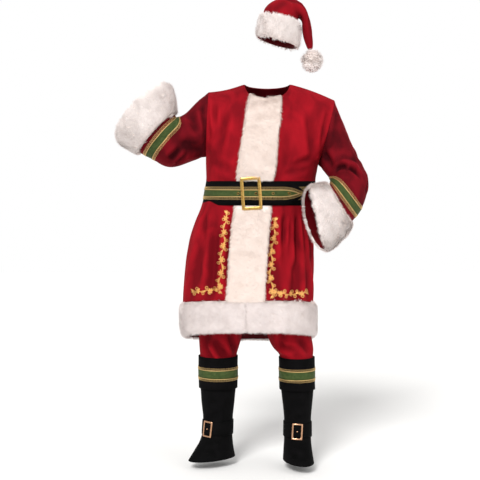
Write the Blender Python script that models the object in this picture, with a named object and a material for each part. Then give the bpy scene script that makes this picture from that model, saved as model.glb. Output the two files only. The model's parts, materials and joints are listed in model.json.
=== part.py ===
"""Santa suit: a worn, hollow costume of coat, belt, trousers, boot tops and hat.

Metres, +Z up. +X is the wearer's left, and the fronts face -Y. The origin is the
centre of the coat's neck base, where the wearer's neck and shoulders carry it.
Each cloth piece is a wall between two offsets of a grid of points. The grids come
from short tables of sections, and pieces that share a seam share its points.
"""
import math
from collections import namedtuple

import bmesh
import bpy
from mathutils import Matrix, Vector

# ------------------------------------------------------------------ driving sizes
CLOTH = 0.0024             # velvet and its backing
FUR = 0.012                # pile and backing of a fur strip
FUR_UNDER_BELT = 0.004     # the same strip pressed flat by the belt
FUR_BACKING = 0.0024       # how far a fur strip reaches inside the seam line
FUR_EDGE_SHARE = 0.16      # how near its edge a band is full, as a share of its first span
FUR_SIDE = 0.62            # the height of the front fur's long edges, as a share
RIBBON = 0.0010
STRAP = 0.0022
SEAM = 0.0002              # each border is drawn back this far from its seam
LIFT = 0.0003              # gap under what lies on a panel

HEM_Z = -0.935             # coat, measured at the side seams
HEM_FUR_TOP_Z = -0.812
BELT_LOW_Z = -0.431
BELT_HIGH_Z = -0.339
BELT_RIBBON_WIDTH = 0.050
UNDERARM_Z = -0.258        # at the middle of the body
FRONT_FUR_WIDTH = 0.136

NECK_HALF_WIDTH = 0.086
NECK_SIDE_Y = -0.004
NECK_SIDE_Z = 0.031
RIGHT_SHOULDER_SAG = 0.006
LEFT_SHOULDER_SAG = -0.005

FUR_COLUMNS = 2            # columns across half of the front fur
SIDE_COLUMNS = 9           # from there to the side seam
HALF_COLUMNS = FUR_COLUMNS + SIDE_COLUMNS
ARMHOLE_ROWS = 9           # rows from underarm to shoulder seam
ARMHOLE_BY_HEIGHT = 0.4    # 0 spaces them evenly by angle, 1 by height
NECK_COLUMNS = 5           # columns from centre that end on the neckline
HEM_ROWS = 3
SKIRT_ROWS = 7
CHEST_ROWS = 2
FIRST_SKIRT_ROW = HEM_ROWS
BELT_ROW = HEM_ROWS + SKIRT_ROWS
BELT_SPANS = 1
CURVE_SAMPLES = 48

# ------------------------------------------------------------------ tables
Body = namedtuple("Body", "z middle half_width front back front_x squareness")
BODY = [
    #    z       middle  half    front  back   front_x  squareness
    Body(-0.935, -0.069, 0.247, 0.192, 0.184, -0.084, 2.10),
    Body(-0.812, -0.071, 0.250, 0.184, 0.176, -0.083, 2.15),
    Body(-0.643, -0.066, 0.246, 0.172, 0.164, -0.075, 2.20),
    Body(-0.527, -0.054, 0.236, 0.160, 0.152, -0.066, 2.25),
    Body(-0.460, -0.039, 0.225, 0.150, 0.144, -0.059, 2.30),
    Body(-0.431, -0.033, 0.214, 0.144, 0.138, -0.056, 2.35),
    Body(-0.385, -0.028, 0.208, 0.142, 0.136, -0.053, 2.35),
    Body(-0.339, -0.024, 0.208, 0.143, 0.136, -0.049, 2.35),
    Body(-0.300, -0.022, 0.213, 0.150, 0.138, -0.044, 2.35),
    Body(-0.258, -0.019, 0.216, 0.150, 0.136, -0.038, 2.35),
]
HEM_SLOPE = -0.22          # the hem rises towards the front and drops behind

# Soft folds: the share of the way from centre to side seam (-1 is the wearer's
# right) at foot and head, the heights between which it fades, its width and height.
Fold = namedtuple("Fold", "foot head low_z high_z width height")
FRONT_FOLDS = [
    Fold(-0.90, -0.86, -0.93, -0.46, 0.09, 0.010),
    Fold(-0.66, -0.70, -0.93, -0.44, 0.10, 0.012),
    Fold(-0.42, -0.46, -0.93, -0.50, 0.09, 0.007),
    Fold(0.40, 0.46, -0.93, -0.46, 0.07, 0.010),
    Fold(0.60, 0.56, -0.93, -0.44, 0.08, 0.013),
    Fold(0.82, 0.68, -0.93, -0.44, 0.08, 0.014),
]
BACK_FOLDS = [
    Fold(-0.78, -0.62, -0.95, -0.44, 0.09, 0.013),
    Fold(-0.48, -0.38, -0.95, -0.44, 0.09, 0.012),
    Fold(-0.16, -0.13, -0.95, -0.46, 0.09, 0.009),
    Fold(0.18, 0.14, -0.95, -0.44, 0.09, 0.011),
    Fold(0.50, 0.40, -0.95, -0.46, 0.09, 0.012),
    Fold(0.80, 0.66, -0.95, -0.44, 0.09, 0.013),
]

Depth = namedtuple("Depth", "share z y x")
CHEST = [                  # centre front, from underarm to neckline
    Depth(0.00, -0.258, -0.150, -0.038),
    Depth(0.30, -0.190, -0.148, -0.031),
    Depth(0.60, -0.100, -0.126, -0.020),
    Depth(1.00, -0.036, -0.086, -0.012),
]
SPINE = [                  # centre back, from underarm to neckline
    Depth(0.00, -0.258, 0.136, -0.012),
    Depth(0.35, -0.165, 0.142, -0.006),
    Depth(0.70, -0.060, 0.124, 0.000),
    Depth(1.00, 0.020, 0.074, 0.004),
]

# A section across a tube: its upper and lower ends, its middle's depth, its
# half depth, and how far its near and far sides run on along the tube.
Ring = namedtuple("Ring", "top_x top_z low_x low_z y depth near_out far_out")
RIGHT_SLEEVE = [           # the raised arm: the top of the elbow is its pinched side
    Ring(-0.224, 0.000, -0.235, -0.243, 0.000, 0.088, 0.000, 0.000),
    Ring(-0.254, -0.018, -0.258, -0.256, -0.004, 0.092, 0.000, 0.000),
    Ring(-0.279, -0.045, -0.288, -0.268, -0.010, 0.094, 0.000, 0.000),
    Ring(-0.300, -0.069, -0.319, -0.280, -0.016, 0.095, 0.000, 0.000),
    Ring(-0.317, -0.084, -0.351, -0.290, -0.022, 0.095, 0.000, 0.000),
    Ring(-0.330, -0.089, -0.383, -0.292, -0.028, 0.095, 0.002, 0.000),
    Ring(-0.3375, -0.0935, -0.411, -0.279, -0.034, 0.094, 0.004, 0.000),
    Ring(-0.3425, -0.0985, -0.436, -0.259, -0.038, 0.093, 0.006, 0.000),
    Ring(-0.3470, -0.0925, -0.474, -0.242, -0.040, 0.092, 0.008, 0.002),
    Ring(-0.3500, -0.0855, -0.486, -0.235, -0.042, 0.092, 0.009, 0.003),
]
LEFT_SLEEVE = [            # the bent arm, its forearm held before the waist
    Ring(0.258, -0.031, 0.196, -0.273, 0.000, 0.088, 0.000, 0.000),
    Ring(0.280, -0.088, 0.206, -0.291, -0.010, 0.090, 0.000, 0.000),
    Ring(0.303, -0.150, 0.2135, -0.303, -0.024, 0.092, 0.000, 0.000),
    Ring(0.328, -0.208, 0.219, -0.311, -0.040, 0.093, 0.000, 0.000),
    Ring(0.356, -0.267, 0.2235, -0.317, -0.056, 0.094, 0.000, 0.000),
    Ring(0.382, -0.316, 0.2275, -0.3215, -0.070, 0.094, 0.002, 0.000),
    Ring(0.382, -0.364, 0.2315, -0.3265, -0.084, 0.093, 0.004, 0.002),
    Ring(0.370, -0.410, 0.2350, -0.3320, -0.096, 0.092, 0.006, 0.004),
    Ring(0.352, -0.451, 0.2355, -0.3400, -0.106, 0.091, 0.008, 0.006),
    Ring(0.330, -0.479, 0.2335, -0.3455, -0.113, 0.090, 0.008, 0.007),
    Ring(0.316, -0.494, 0.2260, -0.3500, -0.121, 0.089, 0.009, 0.012),
]
RIGHT_CUFF = [
    RIGHT_SLEEVE[-1],
    Ring(-0.352, -0.043, -0.513, -0.222, -0.044, 0.094, 0.018, 0.004),
    Ring(-0.358, -0.007, -0.541, -0.208, -0.046, 0.096, 0.030, 0.006),
    Ring(-0.369, 0.026, -0.568, -0.186, -0.048, 0.098, 0.040, 0.008),
]
LEFT_CUFF = [
    LEFT_SLEEVE[-1],
    Ring(0.293, -0.530, 0.2030, -0.3530, -0.142, 0.084, 0.008, 0.018),
    Ring(0.258, -0.567, 0.1800, -0.3560, -0.164, 0.078, 0.009, 0.032),
    Ring(0.218, -0.597, 0.1560, -0.3590, -0.184, 0.072, 0.010, 0.044),
]
SLEEVE_RIBBON_ROWS = 2     # the ribbon ends this many rings before its sleeve's end

# The hat: its rings lean over to the wearer's left and hang down there.
HAT = [
    Ring(-0.036, 0.206, 0.112, 0.164, -0.030, 0.100, 0.0, 0.0),
    Ring(-0.028, 0.247, 0.114, 0.208, -0.030, 0.099, 0.0, 0.0),
    Ring(-0.020, 0.287, 0.113, 0.254, -0.030, 0.096, 0.0, 0.0),
    Ring(-0.016, 0.309, 0.1185, 0.272, -0.030, 0.094, 0.0, 0.0),
    Ring(0.001, 0.330, 0.1215, 0.280, -0.030, 0.088, 0.0, 0.0),
    Ring(0.030, 0.347, 0.1240, 0.279, -0.030, 0.078, 0.0, 0.0),
    Ring(0.068, 0.355, 0.1275, 0.274, -0.030, 0.066, 0.0, 0.0),
    Ring(0.107, 0.351, 0.1300, 0.267, -0.030, 0.055, 0.0, 0.0),
    Ring(0.138, 0.325, 0.1310, 0.258, -0.031, 0.046, 0.0, 0.0),
    Ring(0.155, 0.290, 0.1300, 0.246, -0.032, 0.038, 0.0, 0.0),
    Ring(0.166, 0.243, 0.1310, 0.222, -0.034, 0.029, 0.0, 0.0),
    Ring(0.174, 0.197, 0.1400, 0.186, -0.036, 0.021, 0.0, 0.0),
    Ring(0.172, 0.160, 0.1540, 0.155, -0.038, 0.011, 0.0, 0.0),
]
HAT_COLUMNS = 16
BRIM_ROWS = 3              # the fur brim lies on the first rings
POMPOM_RADIUS = 0.036

Leg = namedtuple("Leg", "z x y half depth")
RIGHT_LEG = [              # trouser legs from the crotch down into the boot tops
    Leg(-0.700, -0.153, 0.004, 0.110, 0.112),
    Leg(-0.780, -0.163, 0.006, 0.101, 0.106),
    Leg(-0.860, -0.172, 0.009, 0.093, 0.099),
    Leg(-0.925, -0.180, 0.012, 0.086, 0.092),
    Leg(-0.965, -0.184, 0.014, 0.081, 0.085),
    Leg(-0.990, -0.187, 0.016, 0.077, 0.079),
    Leg(-1.004, -0.189, 0.016, 0.0730, 0.0730),
    Leg(-1.024, -0.189, 0.016, 0.0718, 0.0718),
    Leg(-1.062, -0.1888, 0.016, 0.0704, 0.0704),
]
LEFT_LEG = [
    Leg(-0.700, 0.064, 0.004, 0.107, 0.110),
    Leg(-0.780, 0.070, 0.000, 0.100, 0.104),
    Leg(-0.860, 0.077, -0.005, 0.093, 0.097),
    Leg(-0.925, 0.084, -0.010, 0.087, 0.090),
    Leg(-0.965, 0.096, -0.014, 0.083, 0.083),
    Leg(-0.990, 0.106, -0.016, 0.076, 0.076),
    Leg(-1.004, 0.114, -0.016, 0.0655, 0.0655),
    Leg(-1.024, 0.1150, -0.016, 0.0645, 0.0645),
    Leg(-1.062, 0.1155, -0.016, 0.0636, 0.0636),
]
WAISTBAND = (0.25, 0.75)   # its edges, as shares of the belt's height
TROUSER_TOP = 0.245        # the same for the top of the legs below it
WAIST_ROWS = 4             # rows from the waistband to the crotch
HIP_SCALE = 0.93           # the hips against the waist's loose cloth
LEG_COLUMNS = 16

# Boot tops: the section's middle, its half size along the foot and across it.
Boot = namedtuple("Boot", "z x y along across")
BOOT_RIGHT = [
    Boot(-1.016, -0.1890, 0.016, 0.0765, 0.0765),
    Boot(-1.055, -0.1888, 0.016, 0.0750, 0.0750),
    Boot(-1.107, -0.1888, 0.016, 0.0730, 0.0730),
    Boot(-1.140, -0.1890, 0.016, 0.0718, 0.0715),
    Boot(-1.190, -0.1895, 0.017, 0.0680, 0.0660),
    Boot(-1.235, -0.1900, 0.018, 0.0630, 0.0590),
    Boot(-1.268, -0.1905, 0.018, 0.0600, 0.0555),
    Boot(-1.322, -0.1920, 0.014, 0.0620, 0.0550),
    Boot(-1.352, -0.1970, 0.006, 0.0720, 0.0555),
    Boot(-1.383, -0.2060, -0.006, 0.0890, 0.0570),
    Boot(-1.412, -0.2130, -0.014, 0.1060, 0.0590),
]
BOOT_LEFT = [
    Boot(-1.016, 0.1150, -0.016, 0.0700, 0.0690),
    Boot(-1.055, 0.1155, -0.016, 0.0690, 0.0680),
    Boot(-1.107, 0.1165, -0.016, 0.0670, 0.0665),
    Boot(-1.140, 0.1175, -0.016, 0.0660, 0.0650),
    Boot(-1.190, 0.1185, -0.015, 0.0640, 0.0600),
    Boot(-1.235, 0.1190, -0.014, 0.0610, 0.0550),
    Boot(-1.268, 0.1190, -0.014, 0.0600, 0.0525),
    Boot(-1.322, 0.1185, -0.020, 0.0630, 0.0530),
    Boot(-1.352, 0.1185, -0.030, 0.0730, 0.0530),
    Boot(-1.383, 0.1195, -0.044, 0.0890, 0.0550),
    Boot(-1.412, 0.1210, -0.054, 0.1040, 0.0580),
]
BOOT_RIBBON_ROW = 1
BOOT_CUFF_ROWS = 4
BOOT_STRAP_ROW = 6
BOOT_COLUMNS = 14
RIGHT_FOOT_TURN = 55.0     # degrees from straight ahead, towards the wearer's right
LEFT_FOOT_TURN = -12.0
BOOT_CUFF = 0.0030         # turned-down cloth
BOOT_STRAP = 0.0040

BELT_START = -1            # the strap starts this many columns from centre front
BELT_TIP = 7               # and ends here, one turn further, in a point
BELT_TIP_SHAPE = [1.0, 0.80, 0.46, 0.07]
BUCKLE_AT = -0.010         # the buckle's middle, from centre front
BUCKLE_OVER_FUR = 0.0002   # its ends clear the fur above and below the belt
BELT_EYELETS = [-0.046, 0.018, 0.080, 0.141]   # along the belt, from the buckle's middle
EYELET_RADIUS = 0.0046
EYELET_WIRE = 0.0012

Buckle = namedtuple("Buckle", "width height bar thickness corner lean bend")
BELT_BUCKLE = Buckle(0.078, 0.124, 0.013, 0.005, 0.007, 4.0, 0.80)
BOOT_BUCKLE = Buckle(0.042, 0.062, 0.0065, 0.003, 0.003, -3.0, 0.068)
CORNER_STEPS = 2
STUD_RADIUS = 0.0042
STUD_HEIGHT = 0.005

Finish = namedtuple("Finish", "name red green blue roughness metallic")
RED_VELVET = Finish("red velvet", 0.32, 0.008, 0.016, 0.85, 0.0)
BLACK_VELVET = Finish("black velvet", 0.006, 0.006, 0.007, 0.9, 0.0)
WHITE_FUR = Finish("white fur", 0.86, 0.82, 0.79, 0.95, 0.0)
GREEN_RIBBON = Finish("woven green ribbon", 0.04, 0.16, 0.05, 0.6, 0.0)
BRASS = Finish("brass", 0.62, 0.42, 0.14, 0.3, 1.0)


# ------------------------------------------------------------------ small helpers
def lerp(start, end, share):
    """A value or vector part of the way from start to end."""
    return start + (end - start) * share


def smooth(share):
    """A soft step from 0 to 1."""
    share = min(max(share, 0.0), 1.0)
    return share * share * (3.0 - 2.0 * share)


def read_table(table, value):
    """A row read smoothly between a table's rows, by its rising first column."""
    keys = [row[0] for row in table]
    span = max(i for i in range(len(keys) - 1) if i == 0 or keys[i] <= value)
    width = keys[span + 1] - keys[span]
    share = (value - keys[span]) / width

    def slope(index, column):
        before = max(index - 1, 0)
        after = min(index + 1, len(table) - 1)
        rise = table[after][column] - table[before][column]
        return rise / (keys[after] - keys[before]) * width

    numbers = []
    for column in range(len(table[0])):
        start, end = table[span][column], table[span + 1][column]
        square, cube = share ** 2, share ** 3
        numbers.append(start * (2 * cube - 3 * square + 1) + end * (3 * square - 2 * cube)
                       + slope(span, column) * (cube - 2 * square + share)
                       + slope(span + 1, column) * (cube - square))
    return type(table[0])(*numbers)


def along(curve, stops):
    """Points of a polyline at distances from its start."""
    lengths = [0.0]
    for before, after in zip(curve, curve[1:]):
        lengths.append(lengths[-1] + (after - before).length)
    points = []
    span = 0
    for stop in stops:
        while span < len(curve) - 2 and lengths[span + 1] < stop:
            span += 1
        share = (stop - lengths[span]) / max(lengths[span + 1] - lengths[span], 1e-9)
        points.append(lerp(curve[span], curve[span + 1], min(max(share, 0.0), 1.0)))
    return points


def length_of(curve):
    """The length of a polyline."""
    return sum((after - before).length for before, after in zip(curve, curve[1:]))


def even_stops(start, end, spans):
    """Distances from start to end in equal spans."""
    return [lerp(start, end, i / spans) for i in range(spans + 1)]


# ------------------------------------------------------------------ walls
class Skin:
    """The outward direction at each point of sheets that share their seams."""

    def __init__(self):
        self.sums = {}

    @staticmethod
    def key(point):
        return tuple(round(number, 5) for number in point)

    def add(self, *grids):
        """Count one sheet's grids. Their columns run anticlockwise seen from the last row."""
        sheet = {}
        for grid in grids:
            for row, above in zip(grid, grid[1:]):
                for left, right, high_left, high_right in zip(row, row[1:], above, above[1:]):
                    direction = (high_right - left).cross(high_left - right).normalized()
                    for point in (left, right, high_left, high_right):
                        key = self.key(point)
                        sheet[key] = sheet.get(key, Vector()) + direction
        for key, total in sheet.items():
            self.sums[key] = self.sums.get(key, Vector()) + total.normalized()

    def directions(self, grid):
        """A unit vector for each point of a grid."""
        return [[self.sums[self.key(point)].normalized() for point in row] for row in grid]


def offset_at(offset, row, column):
    """An offset that is a number, or a function of row and column."""
    return offset(row, column) if callable(offset) else offset


def inward(line, next_line, place, closed):
    """The way from a point of a border into the sheet, square to the border."""
    last = len(line) - 1
    if closed and place in (0, last):
        run = line[1] - line[last - 1]
    else:
        run = line[min(place + 1, last)] - line[max(place - 1, 0)]
    run.normalize()
    way = next_line[place] - line[place]
    return (way - run * way.dot(run)).normalized()


def drawn_back(grid, closed, capped):
    """A grid whose borders are drawn back a little from their seams."""
    last_row, last_column = len(grid) - 1, len(grid[0]) - 1
    columns = [list(column) for column in zip(*grid)]
    result = [[point.copy() for point in row] for row in grid]
    for j in range(last_column + 1):
        result[0][j] += inward(grid[0], grid[1], j, closed) * SEAM
        if not capped:
            result[last_row][j] += inward(grid[last_row], grid[last_row - 1], j, closed) * SEAM
    if not closed:
        for i in range(last_row + 1):
            result[i][0] += inward(columns[0], columns[1], i, False) * SEAM
            result[i][last_column] += inward(columns[-1], columns[-2], i, False) * SEAM
    return result


def wall(name, grid, directions, outer, inner, finish, closed=False, capped=False):
    """Make a closed wall of cloth between two offsets of a grid of points."""
    points = drawn_back(grid, closed, capped)
    rows, columns = len(grid), len(grid[0])
    shell = bmesh.new()
    bmesh.ops.create_grid(shell, x_segments=columns - 1, y_segments=rows - 1, size=0.5)
    place = shell.verts.layers.int.new("place")
    shell.verts.ensure_lookup_table()
    for index, vertex in enumerate(shell.verts):
        vertex[place] = index
        vertex.co = points[index // columns][index % columns]
    bmesh.ops.triangulate(shell, faces=shell.faces[:], quad_method="FIXED")
    if closed or capped:
        bmesh.ops.remove_doubles(shell, verts=shell.verts[:], dist=1e-6)
    inside = shell.verts[:]
    copied = bmesh.ops.extrude_face_region(shell, geom=shell.faces[:])
    outside = [item for item in copied["geom"] if isinstance(item, bmesh.types.BMVert)]
    for vertices, offset in ((inside, inner), (outside, outer)):
        for vertex in vertices:
            i, j = divmod(vertex[place], columns)
            vertex.co = points[i][j] + directions[i][j] * offset_at(offset, i, j)
    ends = [face for face in shell.faces if len(face.verts) > 3]
    bmesh.ops.triangulate(shell, faces=ends, quad_method="SHORT_EDGE")
    if shell.calc_volume(signed=True) < 0.0:
        bmesh.ops.reverse_faces(shell, faces=shell.faces[:])
    return finish_object(name, shell, finish)


def material(finish):
    """The finish's material, made once."""
    found = bpy.data.materials.get(finish.name)
    if found:
        return found
    made = bpy.data.materials.new(finish.name)
    made.use_nodes = True
    shader = made.node_tree.nodes["Principled BSDF"]
    shader.inputs["Base Color"].default_value = (finish.red, finish.green, finish.blue, 1.0)
    shader.inputs["Roughness"].default_value = finish.roughness
    shader.inputs["Metallic"].default_value = finish.metallic
    return made


def finish_object(name, shell, finish, matrix=None):
    """Turn a bmesh into a named object of the suit."""
    mesh = bpy.data.meshes.new(name)
    shell.to_mesh(mesh)
    shell.free()
    mesh.materials.append(material(finish))
    piece = bpy.data.objects.new(name, mesh)
    if matrix:
        piece.matrix_world = matrix
    bpy.data.collections["santa suit"].objects.link(piece)
    return piece


def patch(grid, first_row, last_row, first_column=0, last_column=None):
    """The part of a grid between two rows and two columns, both included."""
    end = len(grid[0]) if last_column is None else last_column + 1
    return [row[first_column:end] for row in grid[first_row:last_row + 1]]


def with_edge_rows(grid):
    """A fur strip's grid with one more row close to each of its long edges."""
    low = [lerp(point, after, FUR_EDGE_SHARE) for point, after in zip(grid[0], grid[1])]
    high = [lerp(point, before, FUR_EDGE_SHARE) for point, before in zip(grid[-1], grid[-2])]
    return [grid[0], low, *grid[1:-1], high, grid[-1]]


def fur_band(name, grid, directions, inner, closed=False):
    """A band of fur, as thin as cloth along its long edges and full between them."""
    points, ways = with_edge_rows(grid), with_edge_rows(directions)
    last = len(points) - 1

    def height(row, column):
        return inner + FUR_BACKING if row in (0, last) else FUR

    wall(name, points, ways, height, inner, WHITE_FUR, closed=closed)


# ------------------------------------------------------------------ coat body
def ring_point(ring, out, turn):
    """A point of a tube's section: turn 0 is its low end, 0.5 near, 1 top, 1.5 far."""
    top = Vector((ring.top_x, ring.y, ring.top_z))
    low = Vector((ring.low_x, ring.y, ring.low_z))
    height = -math.cos(math.pi * turn)
    near = math.sin(math.pi * turn)
    run_on = ring.near_out * near if near > 0.0 else -ring.far_out * near
    return (top + low) / 2 + (top - low) / 2 * height + out * run_on - Vector((0, ring.depth * near, 0))


def armhole_turn(step):
    """The place on a sleeve's section of a step from the underarm to the shoulder."""
    share = step / ARMHOLE_ROWS
    return lerp(share, math.acos(1.0 - 2.0 * share) / math.pi, ARMHOLE_BY_HEIGHT)


def quarter(centre, side, squareness):
    """A quarter of a superellipse, from a centre line to a side."""
    curve = []
    for i in range(CURVE_SAMPLES + 1):
        angle = math.pi / 2 * i / CURVE_SAMPLES
        across = math.sin(angle) ** (2 / squareness)
        depth = max(math.cos(angle), 0.0) ** (2 / squareness)
        curve.append(Vector((lerp(centre.x, side.x, across), lerp(side.y, centre.y, depth),
                             lerp(centre.z, side.z, across))))
    return curve


def place_columns(curve):
    """Points of a quarter and the share of the way to its side of each of them."""
    total = length_of(curve)
    fur_end = FRONT_FUR_WIDTH / 2
    stops = even_stops(0.0, fur_end, FUR_COLUMNS) + even_stops(fur_end, total, SIDE_COLUMNS)[1:]
    return along(curve, stops), [stop / total for stop in stops]


def fold_rise(folds, share, z):
    """How far the folds push the cloth out at a place on the skirt."""
    rise = 0.0
    for fold in folds:
        down = min(max((fold.high_z - z) / (fold.high_z - fold.low_z), 0.0), 1.0)
        middle = lerp(fold.head, fold.foot, down)
        rise += fold.height * smooth(down) * math.exp(-((share - middle) / fold.width) ** 2)
    return rise * smooth((1.0 - abs(share)) / 0.12)


def full_row(right_curve, left_curve, folds, z):
    """A row from the right side seam over the centre line to the left side seam."""
    right, right_shares = place_columns(right_curve)
    left, left_shares = place_columns(left_curve)
    points = right[:0:-1] + left
    shares = [-share for share in right_shares[:0:-1]] + left_shares
    middle = (points[0] + points[-1]) / 2
    row = []
    for point, share in zip(points, shares):
        out = Vector((point.x - middle.x, point.y - middle.y, 0.0)).normalized()
        row.append(point + out * fold_rise(folds, share, z))
    return row


def lower_rows(facing, folds):
    """Rows of the front (facing -1) or the back (1), from the hem to below the underarm."""
    heights = even_stops(HEM_Z, HEM_FUR_TOP_Z, HEM_ROWS)
    heights += even_stops(HEM_FUR_TOP_Z, BELT_LOW_Z, SKIRT_ROWS)[1:]
    heights += even_stops(BELT_HIGH_Z, UNDERARM_Z, CHEST_ROWS)[:-1]
    rows = []
    for z in heights:
        body = read_table(BODY, z)
        depth = body.front if facing < 0 else body.back
        centre = Vector((body.middle - facing * (body.front_x - body.middle), facing * depth, 0.0))
        curves = []
        for side in (-1, 1):
            edge = Vector((body.middle + side * body.half_width, 0.0, 0.0))
            curves.append(quarter(centre, edge, body.squareness))
        row = full_row(curves[0], curves[1], folds, z)
        skirt = min(max((BELT_LOW_Z - z) / (BELT_LOW_Z - HEM_Z), 0.0), 1.0)
        chest = smooth((z - BELT_HIGH_Z) / (UNDERARM_Z - BELT_HIGH_Z))
        slant = (LEFT_SLEEVE[0].low_z - RIGHT_SLEEVE[0].low_z) / (2 * body.half_width)
        for point in row:
            point.z = z + HEM_SLOPE * point.y * skirt + slant * chest * (point.x - body.middle)
        rows.append(row)
    return rows


def neck_and_shoulder(bottom, side, tip, sag):
    """Points along half of the neckline, then along the shoulder seam to its tip."""
    neckline = []
    for i in range(CURVE_SAMPLES + 1):
        angle = math.pi / 2 * i / CURVE_SAMPLES
        neckline.append(Vector((lerp(bottom.x, side * NECK_HALF_WIDTH, math.sin(angle)),
                                lerp(NECK_SIDE_Y, bottom.y, math.cos(angle)),
                                lerp(NECK_SIDE_Z, bottom.z, math.cos(angle)))))
    fur_end = FRONT_FUR_WIDTH / 2
    stops = even_stops(0.0, fur_end, FUR_COLUMNS)
    stops += even_stops(fur_end, length_of(neckline), NECK_COLUMNS - FUR_COLUMNS)[1:]
    points = along(neckline, stops)
    spans = HALF_COLUMNS - NECK_COLUMNS
    for i in range(1, spans + 1):
        point = lerp(neckline[-1], tip, i / spans)
        point.z -= sag * math.sin(math.pi * i / spans)
        points.append(point)
    return points


def upper_quarter(facing, side, sleeve, sag):
    """Rows of a quarter of the yoke, filled in between its four border curves."""
    profile = CHEST if facing < 0 else SPINE
    centres, edges = [], []
    for step in range(ARMHOLE_ROWS + 1):
        line = read_table(profile, step / ARMHOLE_ROWS)
        centres.append(Vector((line.x, line.y, line.z)))
        turn = armhole_turn(step) if facing < 0 else 2.0 - armhole_turn(step)
        edges.append(ring_point(sleeve[0], Vector(), turn))
    low, shares = place_columns(quarter(centres[0], edges[0], BODY[-1].squareness))
    high = neck_and_shoulder(centres[-1], side, edges[-1], sag)
    rows = []
    for step, (centre, edge) in enumerate(zip(centres, edges)):
        up = step / ARMHOLE_ROWS
        row = []
        for across, start, end in zip(shares, low, high):
            between_ends = lerp(start, end, up)
            between_sides = lerp(centre, edge, across)
            corners = lerp(lerp(low[0], low[-1], across), lerp(high[0], high[-1], across), up)
            row.append(between_ends + between_sides - corners)
        rows.append(row)
    return rows


def upper_rows(facing):
    """Rows of the front (facing -1) or the back (1), from the underarm to the shoulder."""
    right = upper_quarter(facing, -1, RIGHT_SLEEVE, RIGHT_SHOULDER_SAG)
    left = upper_quarter(facing, 1, LEFT_SLEEVE, LEFT_SHOULDER_SAG)
    return [right_row[:0:-1] + left_row for right_row, left_row in zip(right, left)]


def sleeve_grid(rings, side):
    """The rings of a sleeve or cuff as rows of points that close on themselves."""
    near = [armhole_turn(step) for step in range(ARMHOLE_ROWS + 1)]
    turns = near + [2.0 - turn for turn in near[-2::-1]]
    if side > 0:
        turns.reverse()
    rows = []
    for i, ring in enumerate(rings):
        before, after = rings[max(i - 1, 0)], rings[min(i + 1, len(rings) - 1)]
        way = Vector((after.top_x + after.low_x - before.top_x - before.low_x, 0.0,
                      after.top_z + after.low_z - before.top_z - before.low_z))
        chord = Vector((ring.top_x - ring.low_x, 0.0, ring.top_z - ring.low_z)).normalized()
        out = (way - chord * way.dot(chord)).normalized()
        row = [ring_point(ring, out, turn) for turn in turns[:-1]]
        rows.append(row + [row[0].copy()])
    return rows


def make_coat():
    """The coat's cloth, its fur and its sleeve ribbons. Returns the ring at the belt."""
    skin = Skin()
    front = lower_rows(-1, FRONT_FOLDS) + upper_rows(-1)
    back = [row[::-1] for row in lower_rows(1, BACK_FOLDS) + upper_rows(1)]
    skin.add(front, back)
    sleeves = {"right": (-1, RIGHT_SLEEVE, RIGHT_CUFF), "left": (1, LEFT_SLEEVE, LEFT_CUFF)}
    grids = {}
    for name, (side, rings, cuff_rings) in sleeves.items():
        whole = sleeve_grid(rings + cuff_rings[1:], side)
        skin.add(whole)
        grids[name] = whole[:len(rings)], whole[len(rings) - 1:]

    top = len(front) - 1
    last = 2 * HALF_COLUMNS
    panels = [
        ("coat_front_right", front, 0, HALF_COLUMNS), ("coat_front_left", front, HALF_COLUMNS, last),
        ("coat_back", back, 0, last),
    ]
    for name, grid, first_column, last_column in panels:
        panel = patch(grid, FIRST_SKIRT_ROW, top, first_column, last_column)
        wall(name, panel, skin.directions(panel), 0.0, -CLOTH, RED_VELVET)
    hems = [
        ("hem_fur_right", front, 0, HALF_COLUMNS), ("hem_fur_left", front, HALF_COLUMNS, last),
        ("hem_fur_back", back, 0, last),
    ]
    for name, grid, first_column, last_column in hems:
        hem = patch(grid, 0, FIRST_SKIRT_ROW, first_column, last_column)
        fur_band(name, hem, skin.directions(hem), -FUR_BACKING)

    strip = patch(front, FIRST_SKIRT_ROW, top,
                  HALF_COLUMNS - FUR_COLUMNS, HALF_COLUMNS + FUR_COLUMNS)
    belted = range(BELT_ROW - FIRST_SKIRT_ROW, BELT_ROW + BELT_SPANS - FIRST_SKIRT_ROW + 1)

    def height(row, column):
        if row in belted:
            return FUR_UNDER_BELT
        return FUR * (FUR_SIDE if column in (0, 2 * FUR_COLUMNS) else 1.0)

    wall("front_fur", strip, skin.directions(strip), height, LIFT, WHITE_FUR)

    for name, (sleeve, cuff) in grids.items():
        wall(f"sleeve_{name}", sleeve, skin.directions(sleeve), 0.0, -CLOTH, RED_VELVET, closed=True)
        start = len(sleeve) - 1 - SLEEVE_RIBBON_ROWS
        ribbon = patch(sleeve, start, start + SLEEVE_RIBBON_ROWS - 1)
        wall(f"sleeve_ribbon_{name}", ribbon, skin.directions(ribbon), LIFT + RIBBON, LIFT,
             GREEN_RIBBON, closed=True)
        fur_band(f"cuff_fur_{name}", cuff, skin.directions(cuff), -FUR_BACKING, closed=True)

    ring = [front[i] + back[i][1:] for i in (BELT_ROW, BELT_ROW + BELT_SPANS)]
    return ring, skin.directions(ring)


# ------------------------------------------------------------------ belt
def strap_height(column, column_count):
    """How far the strap's inner side lies off the coat at a column of the spiral."""
    turn = 4 * HALF_COLUMNS
    from_centre = (column + BELT_START + turn // 2) % turn - turn // 2
    over_fur = (FUR_UNDER_BELT + LIFT) * smooth(FUR_COLUMNS + 1 - abs(from_centre))
    over_strap = (STRAP + RIBBON + 2 * LIFT) * smooth((column - turn + 4) / 3)
    return LIFT + over_fur + over_strap


def between(rows, shares):
    """Rows between a low and a high row of vectors, at shares of the way up."""
    return [[lerp(low, high, share) for low, high in zip(*rows)] for share in shares]


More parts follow.
